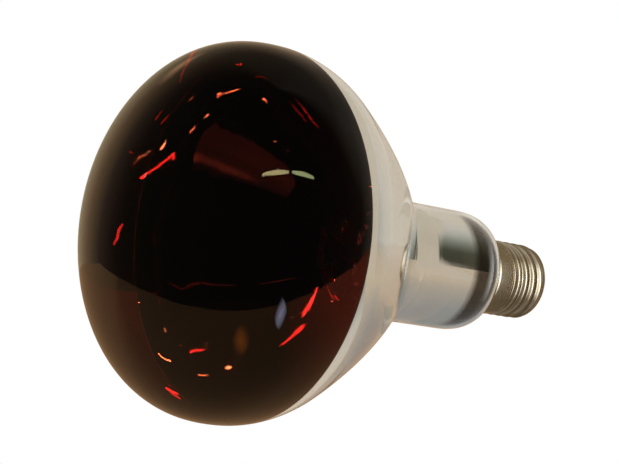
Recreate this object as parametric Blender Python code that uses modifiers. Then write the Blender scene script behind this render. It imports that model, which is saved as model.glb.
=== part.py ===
"""Infrared heat lamp: a 125 mm ruby-faced reflector bulb with an E27 screw cap.

The lamp stands on its cap. The origin is the centre of the centre contact's flat face, and +Z runs
along the lamp's axis from the contact to the face. The two leads lie along X.
"""

import math

import bmesh
import bpy

MM = 0.001
GAP = 0.3 * MM

# Blown bulb. Depths are measured from the widest circle, forwards to the face and back to the cap.
RING_RADIUS = 62.5 * MM
RING_Z = 135.0 * MM
FACE_DEPTH = 42.8 * MM
FACE_POWER_R = 1.75
FACE_POWER_Z = 2.45
RIM_RADIUS = 35.4 * MM
RIM_SWEEP = math.radians(31)
NECK_RADIUS = 20.85 * MM
NECK_FILLET = 5.0 * MM
NECK_WAIST = 0.6 * MM
NECK_STRAIGHT_Z = 57.0 * MM
SHOULDER_START = 92.4 * MM
SHOULDER_END = 104.7 * MM
SHOULDER_POWER = 2.78
SEAL_RADIUS = 11.5 * MM
SEAL_FILLET = 1.0 * MM
SEAL_END = 112.0 * MM
GLASS_WALL = 1.2 * MM

# Layers on the glass
FILTER_THICKNESS = 0.3 * MM
FILTER_EDGE = 4.4 * MM
MIRROR_THICKNESS = 0.25 * MM
MIRROR_END = 88.2 * MM

# E27 cap
SHELL_RADIUS = 13.2 * MM
SHELL_WALL = 0.4 * MM
SHELL_RIM_Z = 28.8 * MM
COLLAR_END_Z = 21.2 * MM
THREAD_PITCH = 3.629 * MM
THREAD_DEPTH = 1.05 * MM
THREAD_END_Z = 4.9 * MM
CREST_Z = 7.4 * MM
THREAD_FADE = 1.6 * MM
THREAD_RINGS = 25
LIP_RADIUS = 10.6 * MM
LIP_Z = 3.7 * MM
INSULATOR_TOP_Z = 7.0 * MM
INSULATOR_FOOT_Z = 1.2 * MM
INSULATOR_HOLE = 2.2 * MM
CONTACT_RADIUS = 4.8 * MM
CONTACT_THICKNESS = 0.9 * MM
CONTACT_HOLE = 1.9 * MM

# Stem
STEM_RADIUS = 5.5 * MM
STEM_WALL = 1.0 * MM
FLARE_RADIUS = 11.3 * MM
PRESS_BASE_Z = 48.0 * MM
PRESS_TOP_Z = 60.0 * MM
PRESS_WIDTH = 10.4 * MM
PRESS_DEPTH = 5.0 * MM
PRESS_BORE = 0.95 * MM
EXHAUST_RADIUS = 2.5 * MM
EXHAUST_WALL = 0.8 * MM
EXHAUST_TIP_Z = 11.0 * MM
ARBOR_RADIUS = 1.6 * MM
ARBOR_TOP_Z = 80.0 * MM
BUTTON_RADIUS = 3.4 * MM

# Wires, filament and heat shield
LEAD_X = 3.5 * MM
LEAD_RADIUS = 0.6 * MM
SEAL_WIRE_RADIUS = 0.4 * MM
OUTER_LEAD_RADIUS = 0.3 * MM
HOOK_RADIUS = 0.25 * MM
FILAMENT_Z = 88.0 * MM
FILAMENT_ARC_RADIUS = 12.0 * MM
FILAMENT_COIL_RADIUS = 1.3 * MM
FILAMENT_OPENING = math.radians(50)
SHIELD_Z = 65.0 * MM
SHIELD_RADIUS = 17.5 * MM
SHIELD_THICKNESS = 0.5 * MM

BULB_SEGMENTS = 36
SMALL_SEGMENTS = 20
THREAD_SEGMENTS = 28


def clear_scene():
    for old in list(bpy.data.objects):
        bpy.data.objects.remove(old, do_unlink=True)


def new_collection(name):
    collection = bpy.data.collections.new(name)
    bpy.context.scene.collection.children.link(collection)
    return collection


clear_scene()
LAMP = new_collection("infrared_heat_lamp")
CUTTERS = new_collection("cutters")


# ---------------------------------------------------------------- helpers


def material(name, colour, roughness, metallic=0.0, transmission=0.0):
    made = bpy.data.materials.new(name)
    made.use_nodes = True
    shader = made.node_tree.nodes["Principled BSDF"]
    shader.inputs["Base Color"].default_value = (*colour, 1.0)
    shader.inputs["Roughness"].default_value = roughness
    shader.inputs["Metallic"].default_value = metallic
    shader.inputs["Transmission Weight"].default_value = transmission
    made.diffuse_color = (*colour, 1.0)
    return made


def add_object(name, data, finish, collection=LAMP):
    made = bpy.data.objects.new(name, data)
    collection.objects.link(made)
    if finish is not None:
        data.materials.append(finish)
    return made


def turned(name, profile, finish, closed=True, segments=BULB_SEGMENTS):
    """Turn (radius, z) points round Z. They run down the outer side and back up the inner side."""
    mesh = bpy.data.meshes.new(name)
    edges = [(i, i + 1) for i in range(len(profile) - 1)]
    if closed:
        edges.append((len(profile) - 1, 0))
    mesh.from_pydata([(r, 0.0, z) for r, z in profile], edges, [])
    made = add_object(name, mesh, finish)
    screw = made.modifiers.new("turn", "SCREW")
    screw.axis = "Z"
    screw.angle = 2 * math.pi
    screw.steps = segments
    screw.render_steps = segments
    screw.use_merge_vertices = True
    screw.merge_threshold = 0.00001
    screw.use_smooth_shade = True
    return made


def wire(name, points, radius, finish):
    """A round wire through the points, with flat ends."""
    curve = bpy.data.curves.new(name, "CURVE")
    curve.dimensions = "3D"
    curve.bevel_depth = radius
    curve.bevel_resolution = 2
    curve.use_fill_caps = True
    spline = curve.splines.new("POLY")
    spline.points.add(len(points) - 1)
    for point, place in zip(spline.points, points):
        point.co = (*place, 1.0)
    return add_object(name, curve, finish)


def baked(source):
    """Replace an object by a plain mesh of what its modifiers make."""
    graph = bpy.context.evaluated_depsgraph_get()
    mesh = bpy.data.meshes.new_from_object(source.evaluated_get(graph))
    name = source.name
    finish = source.data.materials[0]
    bpy.data.objects.remove(source, do_unlink=True)
    mesh.materials.clear()
    return add_object(name, mesh, finish)


def cut(target, cutter):
    """Cut one object from another, and keep the cutter as a hidden guide."""
    cutter.hide_render = True
    cutter.display_type = "WIRE"
    boolean = target.modifiers.new("cut", "BOOLEAN")
    boolean.operation = "DIFFERENCE"
    boolean.solver = "EXACT"
    boolean.object = cutter


def cylinder_cutter(name, radius, z_low, z_high, x=0.0, y=0.0):
    mesh = bpy.data.meshes.new(name)
    shape = bmesh.new()
    bmesh.ops.create_cone(
        shape,
        cap_ends=True,
        segments=SMALL_SEGMENTS,
        radius1=radius,
        radius2=radius,
        depth=z_high - z_low,
    )
    shape.to_mesh(mesh)
    shape.free()
    made = add_object(name, mesh, None, CUTTERS)
    made.location = (x, y, 0.5 * (z_low + z_high))
    return made


def box_mesh(name, size):
    mesh = bpy.data.meshes.new(name)
    shape = bmesh.new()
    bmesh.ops.create_cube(shape, size=1.0)
    bmesh.ops.scale(shape, vec=size, verts=shape.verts)
    shape.to_mesh(mesh)
    shape.free()
    return mesh


def arc(centre_r, centre_z, radius, start, end, steps):
    """Points on an arc, at angles measured from the outward radial direction towards +Z."""
    points = []
    for step in range(steps + 1):
        angle = start + (end - start) * step / steps
        points.append((centre_r + radius * math.cos(angle), centre_z + radius * math.sin(angle)))
    return points


def inset(points, depth):
    """Move an outline that runs down its outer side inwards by depth, square to itself."""
    moved = []
    last = len(points) - 1
    for index, (r, z) in enumerate(points):
        before = points[max(index - 1, 0)]
        after = points[min(index + 1, last)]
        along = (after[0] - before[0], after[1] - before[1])
        if r < 1e-6:
            along = (1.0, 0.0)
        length = math.hypot(*along)
        moved.append((r + depth * along[1] / length, z - depth * along[0] / length))
    return moved


# ---------------------------------------------------------------- bulb outline


def face_outline(steps=9):
    """The domed face, from its pole to the widest circle."""
    points = []
    for step in range(steps + 1):
        angle = 0.5 * math.pi * step / steps
        r = RING_RADIUS * math.sin(angle) ** (2 / FACE_POWER_R)
        z = RING_Z + FACE_DEPTH * max(math.cos(angle), 0.0) ** (2 / FACE_POWER_Z)
        points.append((r, z))
    return points


def rim_outline(first_depth=0.0, steps=3):
    """The rounded edge between the face and the reflector, from a depth behind the widest circle."""
    start = math.asin(first_depth / RIM_RADIUS)
    return arc(RING_RADIUS - RIM_RADIUS, RING_Z, RIM_RADIUS, -start, -RIM_SWEEP, steps)


def focal_length():
    """The paraboloid that carries on from the rounded edge without a corner."""
    rim_r = rim_outline()[-1][0]
    return 0.5 * rim_r * math.tan(RIM_SWEEP)


def paraboloid_z(r):
    rim_r, rim_z = rim_outline()[-1]
    return rim_z - (rim_r**2 - r**2) / (4 * focal_length())


def reflector_outline(steps=5, fillet_steps=4, waist_steps=4):
    """The paraboloid, the fillet into the neck, and the waist that eases out to the full neck."""
    focus = focal_length()
    waist_r = NECK_RADIUS - NECK_WAIST
    end_r = waist_r
    for _ in range(30):
        end_r = (waist_r + NECK_FILLET) / (1 + NECK_FILLET / math.hypot(end_r, 2 * focus))
    rim_r = rim_outline()[-1][0]
    points = []
    for step in range(1, steps + 1):
        r = rim_r + (end_r - rim_r) * step / steps
        points.append((r, paraboloid_z(r)))
    tilt = math.atan2(2 * focus, end_r)
    centre_z = points[-1][1] - NECK_FILLET * math.sin(tilt)
    fillet = arc(waist_r + NECK_FILLET, centre_z, NECK_FILLET, math.pi - tilt, math.pi, fillet_steps)
    points += fillet[1:]
    for step in range(1, waist_steps + 1):
        share = step / waist_steps
        r = waist_r + NECK_WAIST * 0.5 * (1 - math.cos(math.pi * share))
        points.append((r, centre_z + (NECK_STRAIGHT_Z - centre_z) * share))
    return points


def shoulder_outline(steps=6):
    """The neck's rounded end, down to the flat that faces the cap."""
    flat_r = SEAL_RADIUS + SEAL_FILLET
    points = []
    for step in range(steps + 1):
        angle = 0.5 * math.pi * step / steps
        r = flat_r + (NECK_RADIUS - flat_r) * max(math.cos(angle), 0.0) ** (2 / SHOULDER_POWER)
        depth = SHOULDER_START + (SHOULDER_END - SHOULDER_START) * math.sin(angle) ** (
            2 / SHOULDER_POWER
        )
        points.append((r, RING_Z - depth))
    return points


def seal_outline(steps=3):
    """The drawn-in end that goes inside the screw shell."""
    centre_z = RING_Z - SHOULDER_END - SEAL_FILLET
    fillet = arc(
        SEAL_RADIUS + SEAL_FILLET, centre_z, SEAL_FILLET, 0.5 * math.pi, math.pi, steps
    )
    return fillet[1:] + [(SEAL_RADIUS, RING_Z - SEAL_END)]


# ---------------------------------------------------------------- glass and its layers


def make_glass_envelope():
    glass = material("envelope_glass", (0.86, 0.88, 0.86), 0.03, transmission=0.9)
    filter_room = FILTER_THICKNESS + GAP
    step_depth = FILTER_EDGE + GAP
    front = face_outline() + [rim_outline(step_depth)[0]]
    back = rim_outline(step_depth) + reflector_outline() + shoulder_outline() + seal_outline()
    outer = inset(front, filter_room) + back
    inner = inset(front, filter_room + GLASS_WALL)[:-1] + inset(back, GLASS_WALL)
    turned("glass_envelope", outer + inner[::-1], glass, closed=False)


def make_ruby_face_filter():
    ruby = material("ruby_filter", (0.16, 0.004, 0.004), 0.05, transmission=0.5)
    outer = face_outline() + [rim_outline(FILTER_EDGE)[0]]
    inner = inset(outer, FILTER_THICKNESS)
    turned("ruby_face_filter", outer + inner[::-1], ruby, closed=False)


def make_mirror_coating():
    silver = material("mirror_film", (0.86, 0.84, 0.80), 0.06, metallic=1.0)
    surface = rim_outline(FILTER_EDGE + GAP) + reflector_outline()
    surface.append((NECK_RADIUS, RING_Z - MIRROR_END))
    outer = inset(surface, GLASS_WALL + GAP)
    inner = inset(surface, GLASS_WALL + GAP + MIRROR_THICKNESS)
    turned("mirror_coating", outer + inner[::-1], silver)


# ---------------------------------------------------------------- cap


def thread_shape(z):
    """How strongly the thread stands at this height, from 0 to 1, and the mean radius there."""
    below_collar = min(max((COLLAR_END_Z - z) / THREAD_FADE, 0.0), 1.0)
    above_lip = min(max((z - THREAD_END_Z) / THREAD_FADE, 0.0), 1.0)
    strength = math.sin(0.5 * math.pi * below_collar) * math.sin(0.5 * math.pi * above_lip)
    mean = SHELL_RADIUS - 0.5 * THREAD_DEPTH * math.sin(0.5 * math.pi * below_collar)
    return strength, mean


def make_screw_shell():
    """A turned shell whose wall is then rolled into a right-hand thread."""
    brass = material("nickelled_brass", (0.48, 0.44, 0.36), 0.28, metallic=1.0)
    outline = [(SHELL_RADIUS, SHELL_RIM_Z)]
    for ring in range(THREAD_RINGS + 1):
        z = COLLAR_END_Z + (THREAD_END_Z - COLLAR_END_Z) * ring / THREAD_RINGS
        outline.append((thread_shape(z)[1], z))
    end_r = outline[-1][0]
    drop = THREAD_END_Z - LIP_Z
    for step in range(1, 4):
        angle = 0.5 * math.pi * step / 3
        r = LIP_RADIUS + (end_r - LIP_RADIUS) * math.cos(angle)
        outline.append((r, THREAD_END_Z - drop * math.sin(angle)))
    shell = baked(turned("screw_shell", outline, brass, closed=False, segments=THREAD_SEGMENTS))
    for vertex in shell.data.vertices:
        x, y, z = vertex.co
        strength, mean = thread_shape(z)
        if strength <= 0:
            continue
        phase = 2 * math.pi * (z - CREST_Z) / THREAD_PITCH - math.atan2(y, x)
        r = mean + 0.5 * THREAD_DEPTH * strength * math.cos(phase)
        scale = r / math.hypot(x, y)
        vertex.co = (x * scale, y * scale, z)
    thickness = shell.modifiers.new("wall", "SOLIDIFY")
    thickness.thickness = SHELL_WALL
    thickness.offset = -1.0


def make_cap_insulator():
    vitrite = material("vitreous_insulator", (0.015, 0.015, 0.018), 0.15)
    throat = LIP_RADIUS - SHELL_WALL - GAP
    seat_z = THREAD_END_Z + 0.6 * MM
    body_r = SHELL_RADIUS - THREAD_DEPTH - SHELL_WALL - 2 * GAP
    outline = [
        (INSULATOR_HOLE, INSULATOR_TOP_Z),
        (body_r, INSULATOR_TOP_Z),
        (body_r, seat_z),
        (throat, seat_z - 0.5 * MM),
        (throat, LIP_Z),
        (CONTACT_RADIUS + 1.4 * MM, INSULATOR_FOOT_Z),
        (INSULATOR_HOLE, INSULATOR_FOOT_Z),
    ]
    turned("cap_insulator", outline, vitrite, segments=THREAD_SEGMENTS)


def make_contact():
    brass = material("contact_brass", (0.62, 0.50, 0.28), 0.3, metallic=1.0)
    chamfer = 0.4 * MM
    plate = [
        (CONTACT_HOLE, CONTACT_THICKNESS),
        (CONTACT_RADIUS, CONTACT_THICKNESS),
        (CONTACT_RADIUS, chamfer),
        (CONTACT_RADIUS - chamfer, 0.0),
        (CONTACT_HOLE, 0.0),
    ]
    turned("centre_contact", plate, brass, segments=THREAD_SEGMENTS)
    tin = material("contact_tin", (0.62, 0.62, 0.60), 0.35, metallic=1.0)
    bead_r = CONTACT_HOLE - GAP
    bead = [(0.0, 2 * MM), (1.1 * MM, 1.7 * MM), (bead_r, 1.0 * MM), (bead_r, 0.0), (0.0, 0.0)]
    turned("contact_solder", bead, tin, closed=False, segments=SMALL_SEGMENTS)


def make_basing_cement():
    """The ring between the seal edge and the shell, with a notch for the side lead."""
    cement = material("basing_cement", (0.42, 0.34, 0.25), 0.9)
    inner_r = SEAL_RADIUS + GAP
    wall_r = SHELL_RADIUS - SHELL_WALL - GAP
    top_z = RING_Z - SHOULDER_END - GAP
    bead_z = SHELL_RIM_Z + GAP
    outline = [
        (inner_r + SEAL_FILLET, top_z),
        (SHELL_RADIUS, top_z),
        (SHELL_RADIUS, bead_z),
        (wall_r, bead_z),
        (wall_r, 24.0 * MM),
        (inner_r, 24.0 * MM),
        (inner_r, top_z - SEAL_FILLET),
    ]
    ring = turned("basing_cement", outline, cement)
    notch_mesh = box_mesh("cement_notch", (1.4 * MM, 3 * MM, 8 * MM))
    notch = add_object("cement_notch", notch_mesh, None, CUTTERS)
    notch.location = (0.0, 12.6 * MM, 27.0 * MM)
    cut(ring, notch)


def make_shell_solder():
    """A flattened dab on the collar, at the end of the side lead."""
    tin = material("shell_tin", (0.60, 0.60, 0.58), 0.4, metallic=1.0)
    mesh = bpy.data.meshes.new("shell_solder")
    shape = bmesh.new()
    bmesh.ops.create_uvsphere(shape, u_segments=16, v_segments=8, radius=1.0)
    bmesh.ops.scale(shape, vec=(2.0 * MM, 0.55 * MM, 1.3 * MM), verts=shape.verts)
    shape.to_mesh(mesh)
    shape.free()
    mesh.shade_smooth()
    dab = add_object("shell_solder", mesh, tin)
    dab.location = (0.0, SHELL_RADIUS + GAP + 0.55 * MM, SHELL_RIM_Z - 1.6 * MM)


# ---------------------------------------------------------------- stem


def make_stem_flare():
    glass = material("flare_glass", (0.86, 0.88, 0.86), 0.05, transmission=0.9)
    rim_z = RING_Z - SEAL_END - GAP
    outer = [(STEM_RADIUS, PRESS_BASE_Z - GAP), (STEM_RADIUS, 38 * MM)]
    for step in range(1, 5):
        angle = 0.5 * math.pi * step / 4
        r = STEM_RADIUS + (9.4 * MM - STEM_RADIUS) * (1 - math.cos(angle))
        outer.append((r, 38 * MM + (24.5 * MM - 38 * MM) * math.sin(angle)))
    inner = inset(outer, STEM_WALL)
    edge = [(9.6 * MM, rim_z), (FLARE_RADIUS, rim_z), (FLARE_RADIUS, rim_z - STEM_WALL)]
    edge.append((8.6 * MM, rim_z - STEM_WALL))
    turned("stem_flare", outer + edge + inner[::-1], glass, segments=THREAD_SEGMENTS)


def make_stem_press():
    glass = material("press_glass", (0.82, 0.84, 0.82), 0.08, transmission=0.8)
    height = PRESS_TOP_Z - PRESS_BASE_Z
    block = box_mesh("stem_press", (PRESS_WIDTH, PRESS_DEPTH, height))
    press = add_object("stem_press", block, glass)
    press.location.z = PRESS_BASE_Z + 0.5 * height
    rounding = press.modifiers.new("rounding", "BEVEL")
    rounding.width = 1.0 * MM
    rounding.segments = 2
    for side, x in (("left", -LEAD_X), ("right", LEAD_X)):
        bore = cylinder_cutter(
            "press_bore_" + side, PRESS_BORE, PRESS_BASE_Z - MM, PRESS_TOP_Z + MM, x=x
        )
        cut(press, bore)


def make_exhaust_tube():
    """Open inside the press, and drawn shut in a rounded tip inside the cap."""
    glass = material("exhaust_glass", (0.86, 0.88, 0.86), 0.05, transmission=0.9)
    top_z = PRESS_BASE_Z - GAP
    centre_z = EXHAUST_TIP_Z + EXHAUST_RADIUS
    outer = [(EXHAUST_RADIUS, top_z)]
    outer += arc(0.0, centre_z, EXHAUST_RADIUS, 0.0, -0.5 * math.pi, 4)
    outer[-1] = (0.0, EXHAUST_TIP_Z)
    inner_r = EXHAUST_RADIUS - EXHAUST_WALL
    inner = [(inner_r, top_z)] + arc(0.0, centre_z, inner_r, 0.0, -0.5 * math.pi, 4)
    inner[-1] = (0.0, centre_z - inner_r)
    profile = inner[::-1] + outer
    turned("exhaust_tube", profile, glass, closed=False, segments=SMALL_SEGMENTS)


def make_arbor():
    glass = material("arbor_glass", (0.86, 0.88, 0.86), 0.05, transmission=0.9)
    base_z = PRESS_TOP_Z + GAP
    rod = [(0.0, ARBOR_TOP_Z), (ARBOR_RADIUS, ARBOR_TOP_Z), (ARBOR_RADIUS, base_z), (0.0, base_z)]
    turned("arbor_rod", rod, glass, closed=False, segments=SMALL_SEGMENTS)
    bead = material("button_glass", (0.84, 0.86, 0.84), 0.05, transmission=0.9)
    half = 2.4 * MM
    centre_z = ARBOR_TOP_Z + GAP + half
    button = []
    for step in range(7):
        angle = math.pi * step / 6
        button.append((BUTTON_RADIUS * math.sin(angle), centre_z + half * math.cos(angle)))
    button[0] = (0.0, centre_z + half)
    button[-1] = (0.0, centre_z - half)
    turned("arbor_button", button, bead, closed=False, segments=SMALL_SEGMENTS)


# ---------------------------------------------------------------- wires and shield


def filament_end(side):
    """Where the coil's arc ends, on the left (-1) or the right (1)."""
    angle = 0.5 * FILAMENT_OPENING
    x = side * FILAMENT_ARC_RADIUS * math.sin(angle)
    return x, -FILAMENT_ARC_RADIUS * math.cos(angle)


def make_leads():
    bend_z = SHIELD_Z + 8 * MM
    middle_z = 0.5 * (PRESS_BASE_Z + PRESS_TOP_Z)
    half_seal = 3.0 * MM
    for name, side in (("left", -1), ("right", 1)):
        nickel = material("lead_nickel_" + name, (0.62, 0.60, 0.56), 0.35, metallic=1.0)
        x = side * LEAD_X
        end_x, end_y = filament_end(side)
        points = [
            (x, 0.0, middle_z + half_seal + GAP),
            (x, 0.0, bend_z),
            (0.5 * (x + end_x), 0.4 * end_y, bend_z + 4 * MM),
            (end_x, end_y, bend_z + 9 * MM),
            (end_x, end_y, FILAMENT_Z - FILAMENT_COIL_RADIUS - GAP - 0.2 * MM),
        ]
        wire("lead_wire_" + name, points, LEAD_RADIUS, nickel)
        seal = material("seal_copper_" + name, (0.55, 0.26, 0.16), 0.4, metallic=1.0)
        ends = [(x, 0.0, middle_z + half_seal), (x, 0.0, middle_z - half_seal)]
        wire("seal_wire_" + name, ends, SEAL_WIRE_RADIUS, seal)


def make_outer_leads():
    monel = material("outer_lead_side_metal", (0.50, 0.48, 0.45), 0.4, metallic=1.0)
    start_z = 0.5 * (PRESS_BASE_Z + PRESS_TOP_Z) - 3.0 * MM - GAP
    slot_y = SEAL_RADIUS + 0.75 * MM
    side_points = [
        (LEAD_X, 0.0, start_z),
        (LEAD_X, 0.0, 26 * MM),
        (3.2 * MM, 1.6 * MM, 20.6 * MM),
        (1.6 * MM, 8.6 * MM, 19.8 * MM),
        (0.0, 11.6 * MM, 20.3 * MM),
        (0.0, slot_y, 22.2 * MM),
        (0.0, slot_y, SHELL_RIM_Z),
        (0.0, slot_y + 0.3 * MM, SHELL_RIM_Z + 0.7 * MM),
        (0.0, SHELL_RADIUS + 0.7 * MM, SHELL_RIM_Z + 0.8 * MM),
    ]
    wire("outer_lead_side", side_points, OUTER_LEAD_RADIUS, monel)
    copper = material("outer_lead_centre_metal", (0.50, 0.48, 0.45), 0.4, metallic=1.0)
    centre_points = [
        (-LEAD_X, 0.0, start_z),
        (-LEAD_X, 0.0, 14 * MM),
        (-2.6 * MM, 0.0, 10.2 * MM),
        (-0.9 * MM, 0.0, 8.2 * MM),
        (0.0, 0.0, 6.4 * MM),
        (0.0, 0.0, 2.0 * MM + GAP),
    ]
    wire("outer_lead_centre", centre_points, OUTER_LEAD_RADIUS, copper)


def make_filament():
    """The coiled wire's outer envelope, bent to an open ring round the axis."""
    tungsten = material("tungsten", (0.30, 0.29, 0.28), 0.45, metallic=1.0)
    steps = 22
    points = []
    for step in range(steps + 1):
        sweep = 2 * math.pi - FILAMENT_OPENING
        angle = -0.5 * math.pi + 0.5 * FILAMENT_OPENING + sweep * step / steps
        x = FILAMENT_ARC_RADIUS * math.cos(angle)
        points.append((x, FILAMENT_ARC_RADIUS * math.sin(angle), FILAMENT_Z))
    wire("filament_coil", points, FILAMENT_COIL_RADIUS, tungsten)


def make_filament_hooks(count=4):
    """Wires from the button that pass under the coil and curl up outside it."""
    start_z = ARBOR_TOP_Z + 2.7 * MM
    under_z = FILAMENT_Z - FILAMENT_COIL_RADIUS - HOOK_RADIUS - GAP
    outside_r = FILAMENT_ARC_RADIUS + FILAMENT_COIL_RADIUS + HOOK_RADIUS + GAP
    for index in range(count):
        molybdenum = material("hook_metal_%d" % (index + 1), (0.45, 0.44, 0.43), 0.4, metallic=1.0)
        azimuth = math.pi * index / (count - 1)
        reach = [
            (BUTTON_RADIUS + GAP, start_z),
            (FILAMENT_ARC_RADIUS - 1.5 * MM, under_z),
            (FILAMENT_ARC_RADIUS + 0.9 * MM, under_z),
            (outside_r, under_z + 0.9 * MM),
            (outside_r, FILAMENT_Z + 0.9 * MM),
        ]
        points = [(r * math.cos(azimuth), r * math.sin(azimuth), z) for r, z in reach]
        wire("filament_hook_%d" % (index + 1), points, HOOK_RADIUS, molybdenum)


def make_heat_shield():
    """A thin disc across the neck, held on the leads by two crimped collars."""
    mica = material("shield_mica", (0.55, 0.50, 0.40), 0.5)
    top_z = SHIELD_Z + SHIELD_THICKNESS
    rod_room = ARBOR_RADIUS + GAP + 0.2 * MM
    disc = [
        (rod_room, top_z),
        (SHIELD_RADIUS, top_z),
        (SHIELD_RADIUS, SHIELD_Z),
        (rod_room, SHIELD_Z),
    ]
    shield = turned("heat_shield", disc, mica)
    for side, x in (("left", -LEAD_X), ("right", LEAD_X)):
        hole = cylinder_cutter(
            "shield_hole_" + side, LEAD_RADIUS + GAP, SHIELD_Z - MM, top_z + MM, x=x
        )
        cut(shield, hole)
        nickel = material("collar_nickel_" + side, (0.60, 0.58, 0.54), 0.35, metallic=1.0)
        inner_r = LEAD_RADIUS + GAP
        outer_r = inner_r + 0.6 * MM
        low_z = SHIELD_Z - GAP - 2.0 * MM
        ring = [
            (inner_r, SHIELD_Z - GAP),
            (outer_r, SHIELD_Z - GAP),
            (outer_r, low_z),
            (inner_r, low_z),
        ]
        collar = turned("shield_collar_" + side, ring, nickel, segments=SMALL_SEGMENTS)
        collar.location.x = x


make_glass_envelope()
make_ruby_face_filter()
make_mirror_coating()
make_screw_shell()
make_cap_insulator()
make_contact()
make_basing_cement()
make_shell_solder()
make_stem_flare()
make_stem_press()
make_exhaust_tube()
make_arbor()
make_leads()
make_outer_leads()
make_filament()
make_filament_hooks()
make_heat_shield()
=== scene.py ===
import math

import bmesh
import bpy
from mathutils import Matrix, Vector, noise


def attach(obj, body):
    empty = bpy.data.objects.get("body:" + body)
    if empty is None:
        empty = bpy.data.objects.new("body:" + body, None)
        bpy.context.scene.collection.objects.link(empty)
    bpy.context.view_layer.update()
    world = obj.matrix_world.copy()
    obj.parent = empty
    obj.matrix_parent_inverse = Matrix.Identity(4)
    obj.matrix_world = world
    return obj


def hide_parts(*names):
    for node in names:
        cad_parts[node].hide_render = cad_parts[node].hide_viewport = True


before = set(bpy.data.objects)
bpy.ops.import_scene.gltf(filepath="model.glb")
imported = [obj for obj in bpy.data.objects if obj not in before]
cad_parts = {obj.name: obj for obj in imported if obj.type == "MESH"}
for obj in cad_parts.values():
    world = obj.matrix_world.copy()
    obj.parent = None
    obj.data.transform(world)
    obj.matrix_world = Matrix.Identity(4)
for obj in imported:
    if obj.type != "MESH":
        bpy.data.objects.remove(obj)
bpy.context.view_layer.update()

MM = 0.001
TAU = 2 * math.pi

# Blown bulb. Depths are measured from the widest circle, forwards to the face and back to the cap.
RING_RADIUS = 62.5 * MM
RING_Z = 135.0 * MM
FACE_DEPTH = 42.8 * MM
FACE_POWER_R = 1.75
FACE_POWER_Z = 2.45
RIM_RADIUS = 35.4 * MM
RIM_SWEEP = math.radians(31)
NECK_RADIUS = 20.85 * MM
NECK_FILLET = 5.0 * MM
NECK_WAIST = 0.6 * MM
NECK_STRAIGHT_Z = 62.5 * MM
SHOULDER_START = 92.4 * MM
SHOULDER_END = 104.7 * MM
SHOULDER_POWER = 2.78
SEAL_RADIUS = 11.5 * MM
SEAL_FILLET = 1.0 * MM
SEAL_END = 112.0 * MM
GLASS_WALL = 1.2 * MM
RING_RIDGE = 0.06 * MM
RIDGE_Z = 68.3 * MM
RIDGE_WIDTH = 0.7 * MM

# The ruby layer's edge, and the mirror film with its thin browned fringe
RUBY_EDGE = 4.41 * MM
RUBY_TILT = 2.71 * MM
RUBY_TILT_AZIMUTH = math.atan2(-0.480, -0.877)
SEAM = 0.03 * MM
MIRROR_END = 88.2 * MM
MIRROR_GAP = 0.06 * MM
MIRROR_THICKNESS = 0.2 * MM
MIRROR_WANDER = 0.8 * MM
FRINGE_START = 3.2 * MM
FRINGE_Z = 33.0 * MM

# E27 cap
SHELL_RADIUS = 13.2 * MM
SHELL_WALL = 0.4 * MM
SHELL_RIM_Z = 28.8 * MM
COLLAR_END_Z = 21.2 * MM
THREAD_PITCH = 3.629 * MM
THREAD_DEPTH = 1.05 * MM
THREAD_END_Z = 4.9 * MM
CREST_Z = 7.4 * MM
THREAD_FADE = 1.6 * MM
LIP_RADIUS = 10.6 * MM
LIP_Z = 3.7 * MM
INSULATOR_TOP_Z = 7.0 * MM
INSULATOR_FOOT_Z = 1.2 * MM
INSULATOR_HOLE = 2.2 * MM
CONTACT_RADIUS = 4.8 * MM
CONTACT_THICKNESS = 0.9 * MM
CONTACT_HOLE = 1.9 * MM
CEMENT_FOOT_Z = 24.0 * MM
SOLDER_DROP = 1.6 * MM

# Stem
STEM_RADIUS = 5.5 * MM
STEM_WALL = 1.0 * MM
STEM_TOP_Z = 47.7 * MM
FLARE_START_Z = 38.0 * MM
FLARE_DROP = 13.5 * MM
FLARE_RADIUS = 11.3 * MM
PRESS_BASE_Z = 48.0 * MM
PRESS_TOP_Z = 60.0 * MM
PRESS_HALF_WIDTH = 5.15 * MM
PRESS_HALF_DEPTH = 2.45 * MM
EXHAUST_RADIUS = 2.5 * MM
EXHAUST_WALL = 0.8 * MM
EXHAUST_BEND_Z = 13.5 * MM
ARBOR_RADIUS = 1.6 * MM
ARBOR_TOP_Z = 80.0 * MM
BUTTON_RADIUS = 3.4 * MM
BUTTON_Z = 82.7 * MM

# Wires, filament and heat shield
LEAD_X = 3.5 * MM
LEAD_RADIUS = 0.6 * MM
SEAL_WIRE_RADIUS = 0.4 * MM
OUTER_LEAD_RADIUS = 0.3 * MM
OUTER_LEAD_TOP_Z = 50.7 * MM
HOOK_RADIUS = 0.25 * MM
HOOK_EYE_RADIUS = 1.85 * MM
FILAMENT_Z = 88.0 * MM
FILAMENT_ARC_RADIUS = 12.0 * MM
FILAMENT_COIL_RADIUS = 1.3 * MM
FILAMENT_WIRE_RADIUS = 0.17 * MM
FILAMENT_PITCH = 0.72 * MM
FILAMENT_OPENING = math.radians(50)
SHIELD_Z = 65.0 * MM
SHIELD_RADIUS = 17.5 * MM
SHIELD_HOLE = 2.1 * MM
SHIELD_THICKNESS = 0.5 * MM
COLLAR_LENGTH = 2.0 * MM

BULB_SEGMENTS = 224

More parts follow.
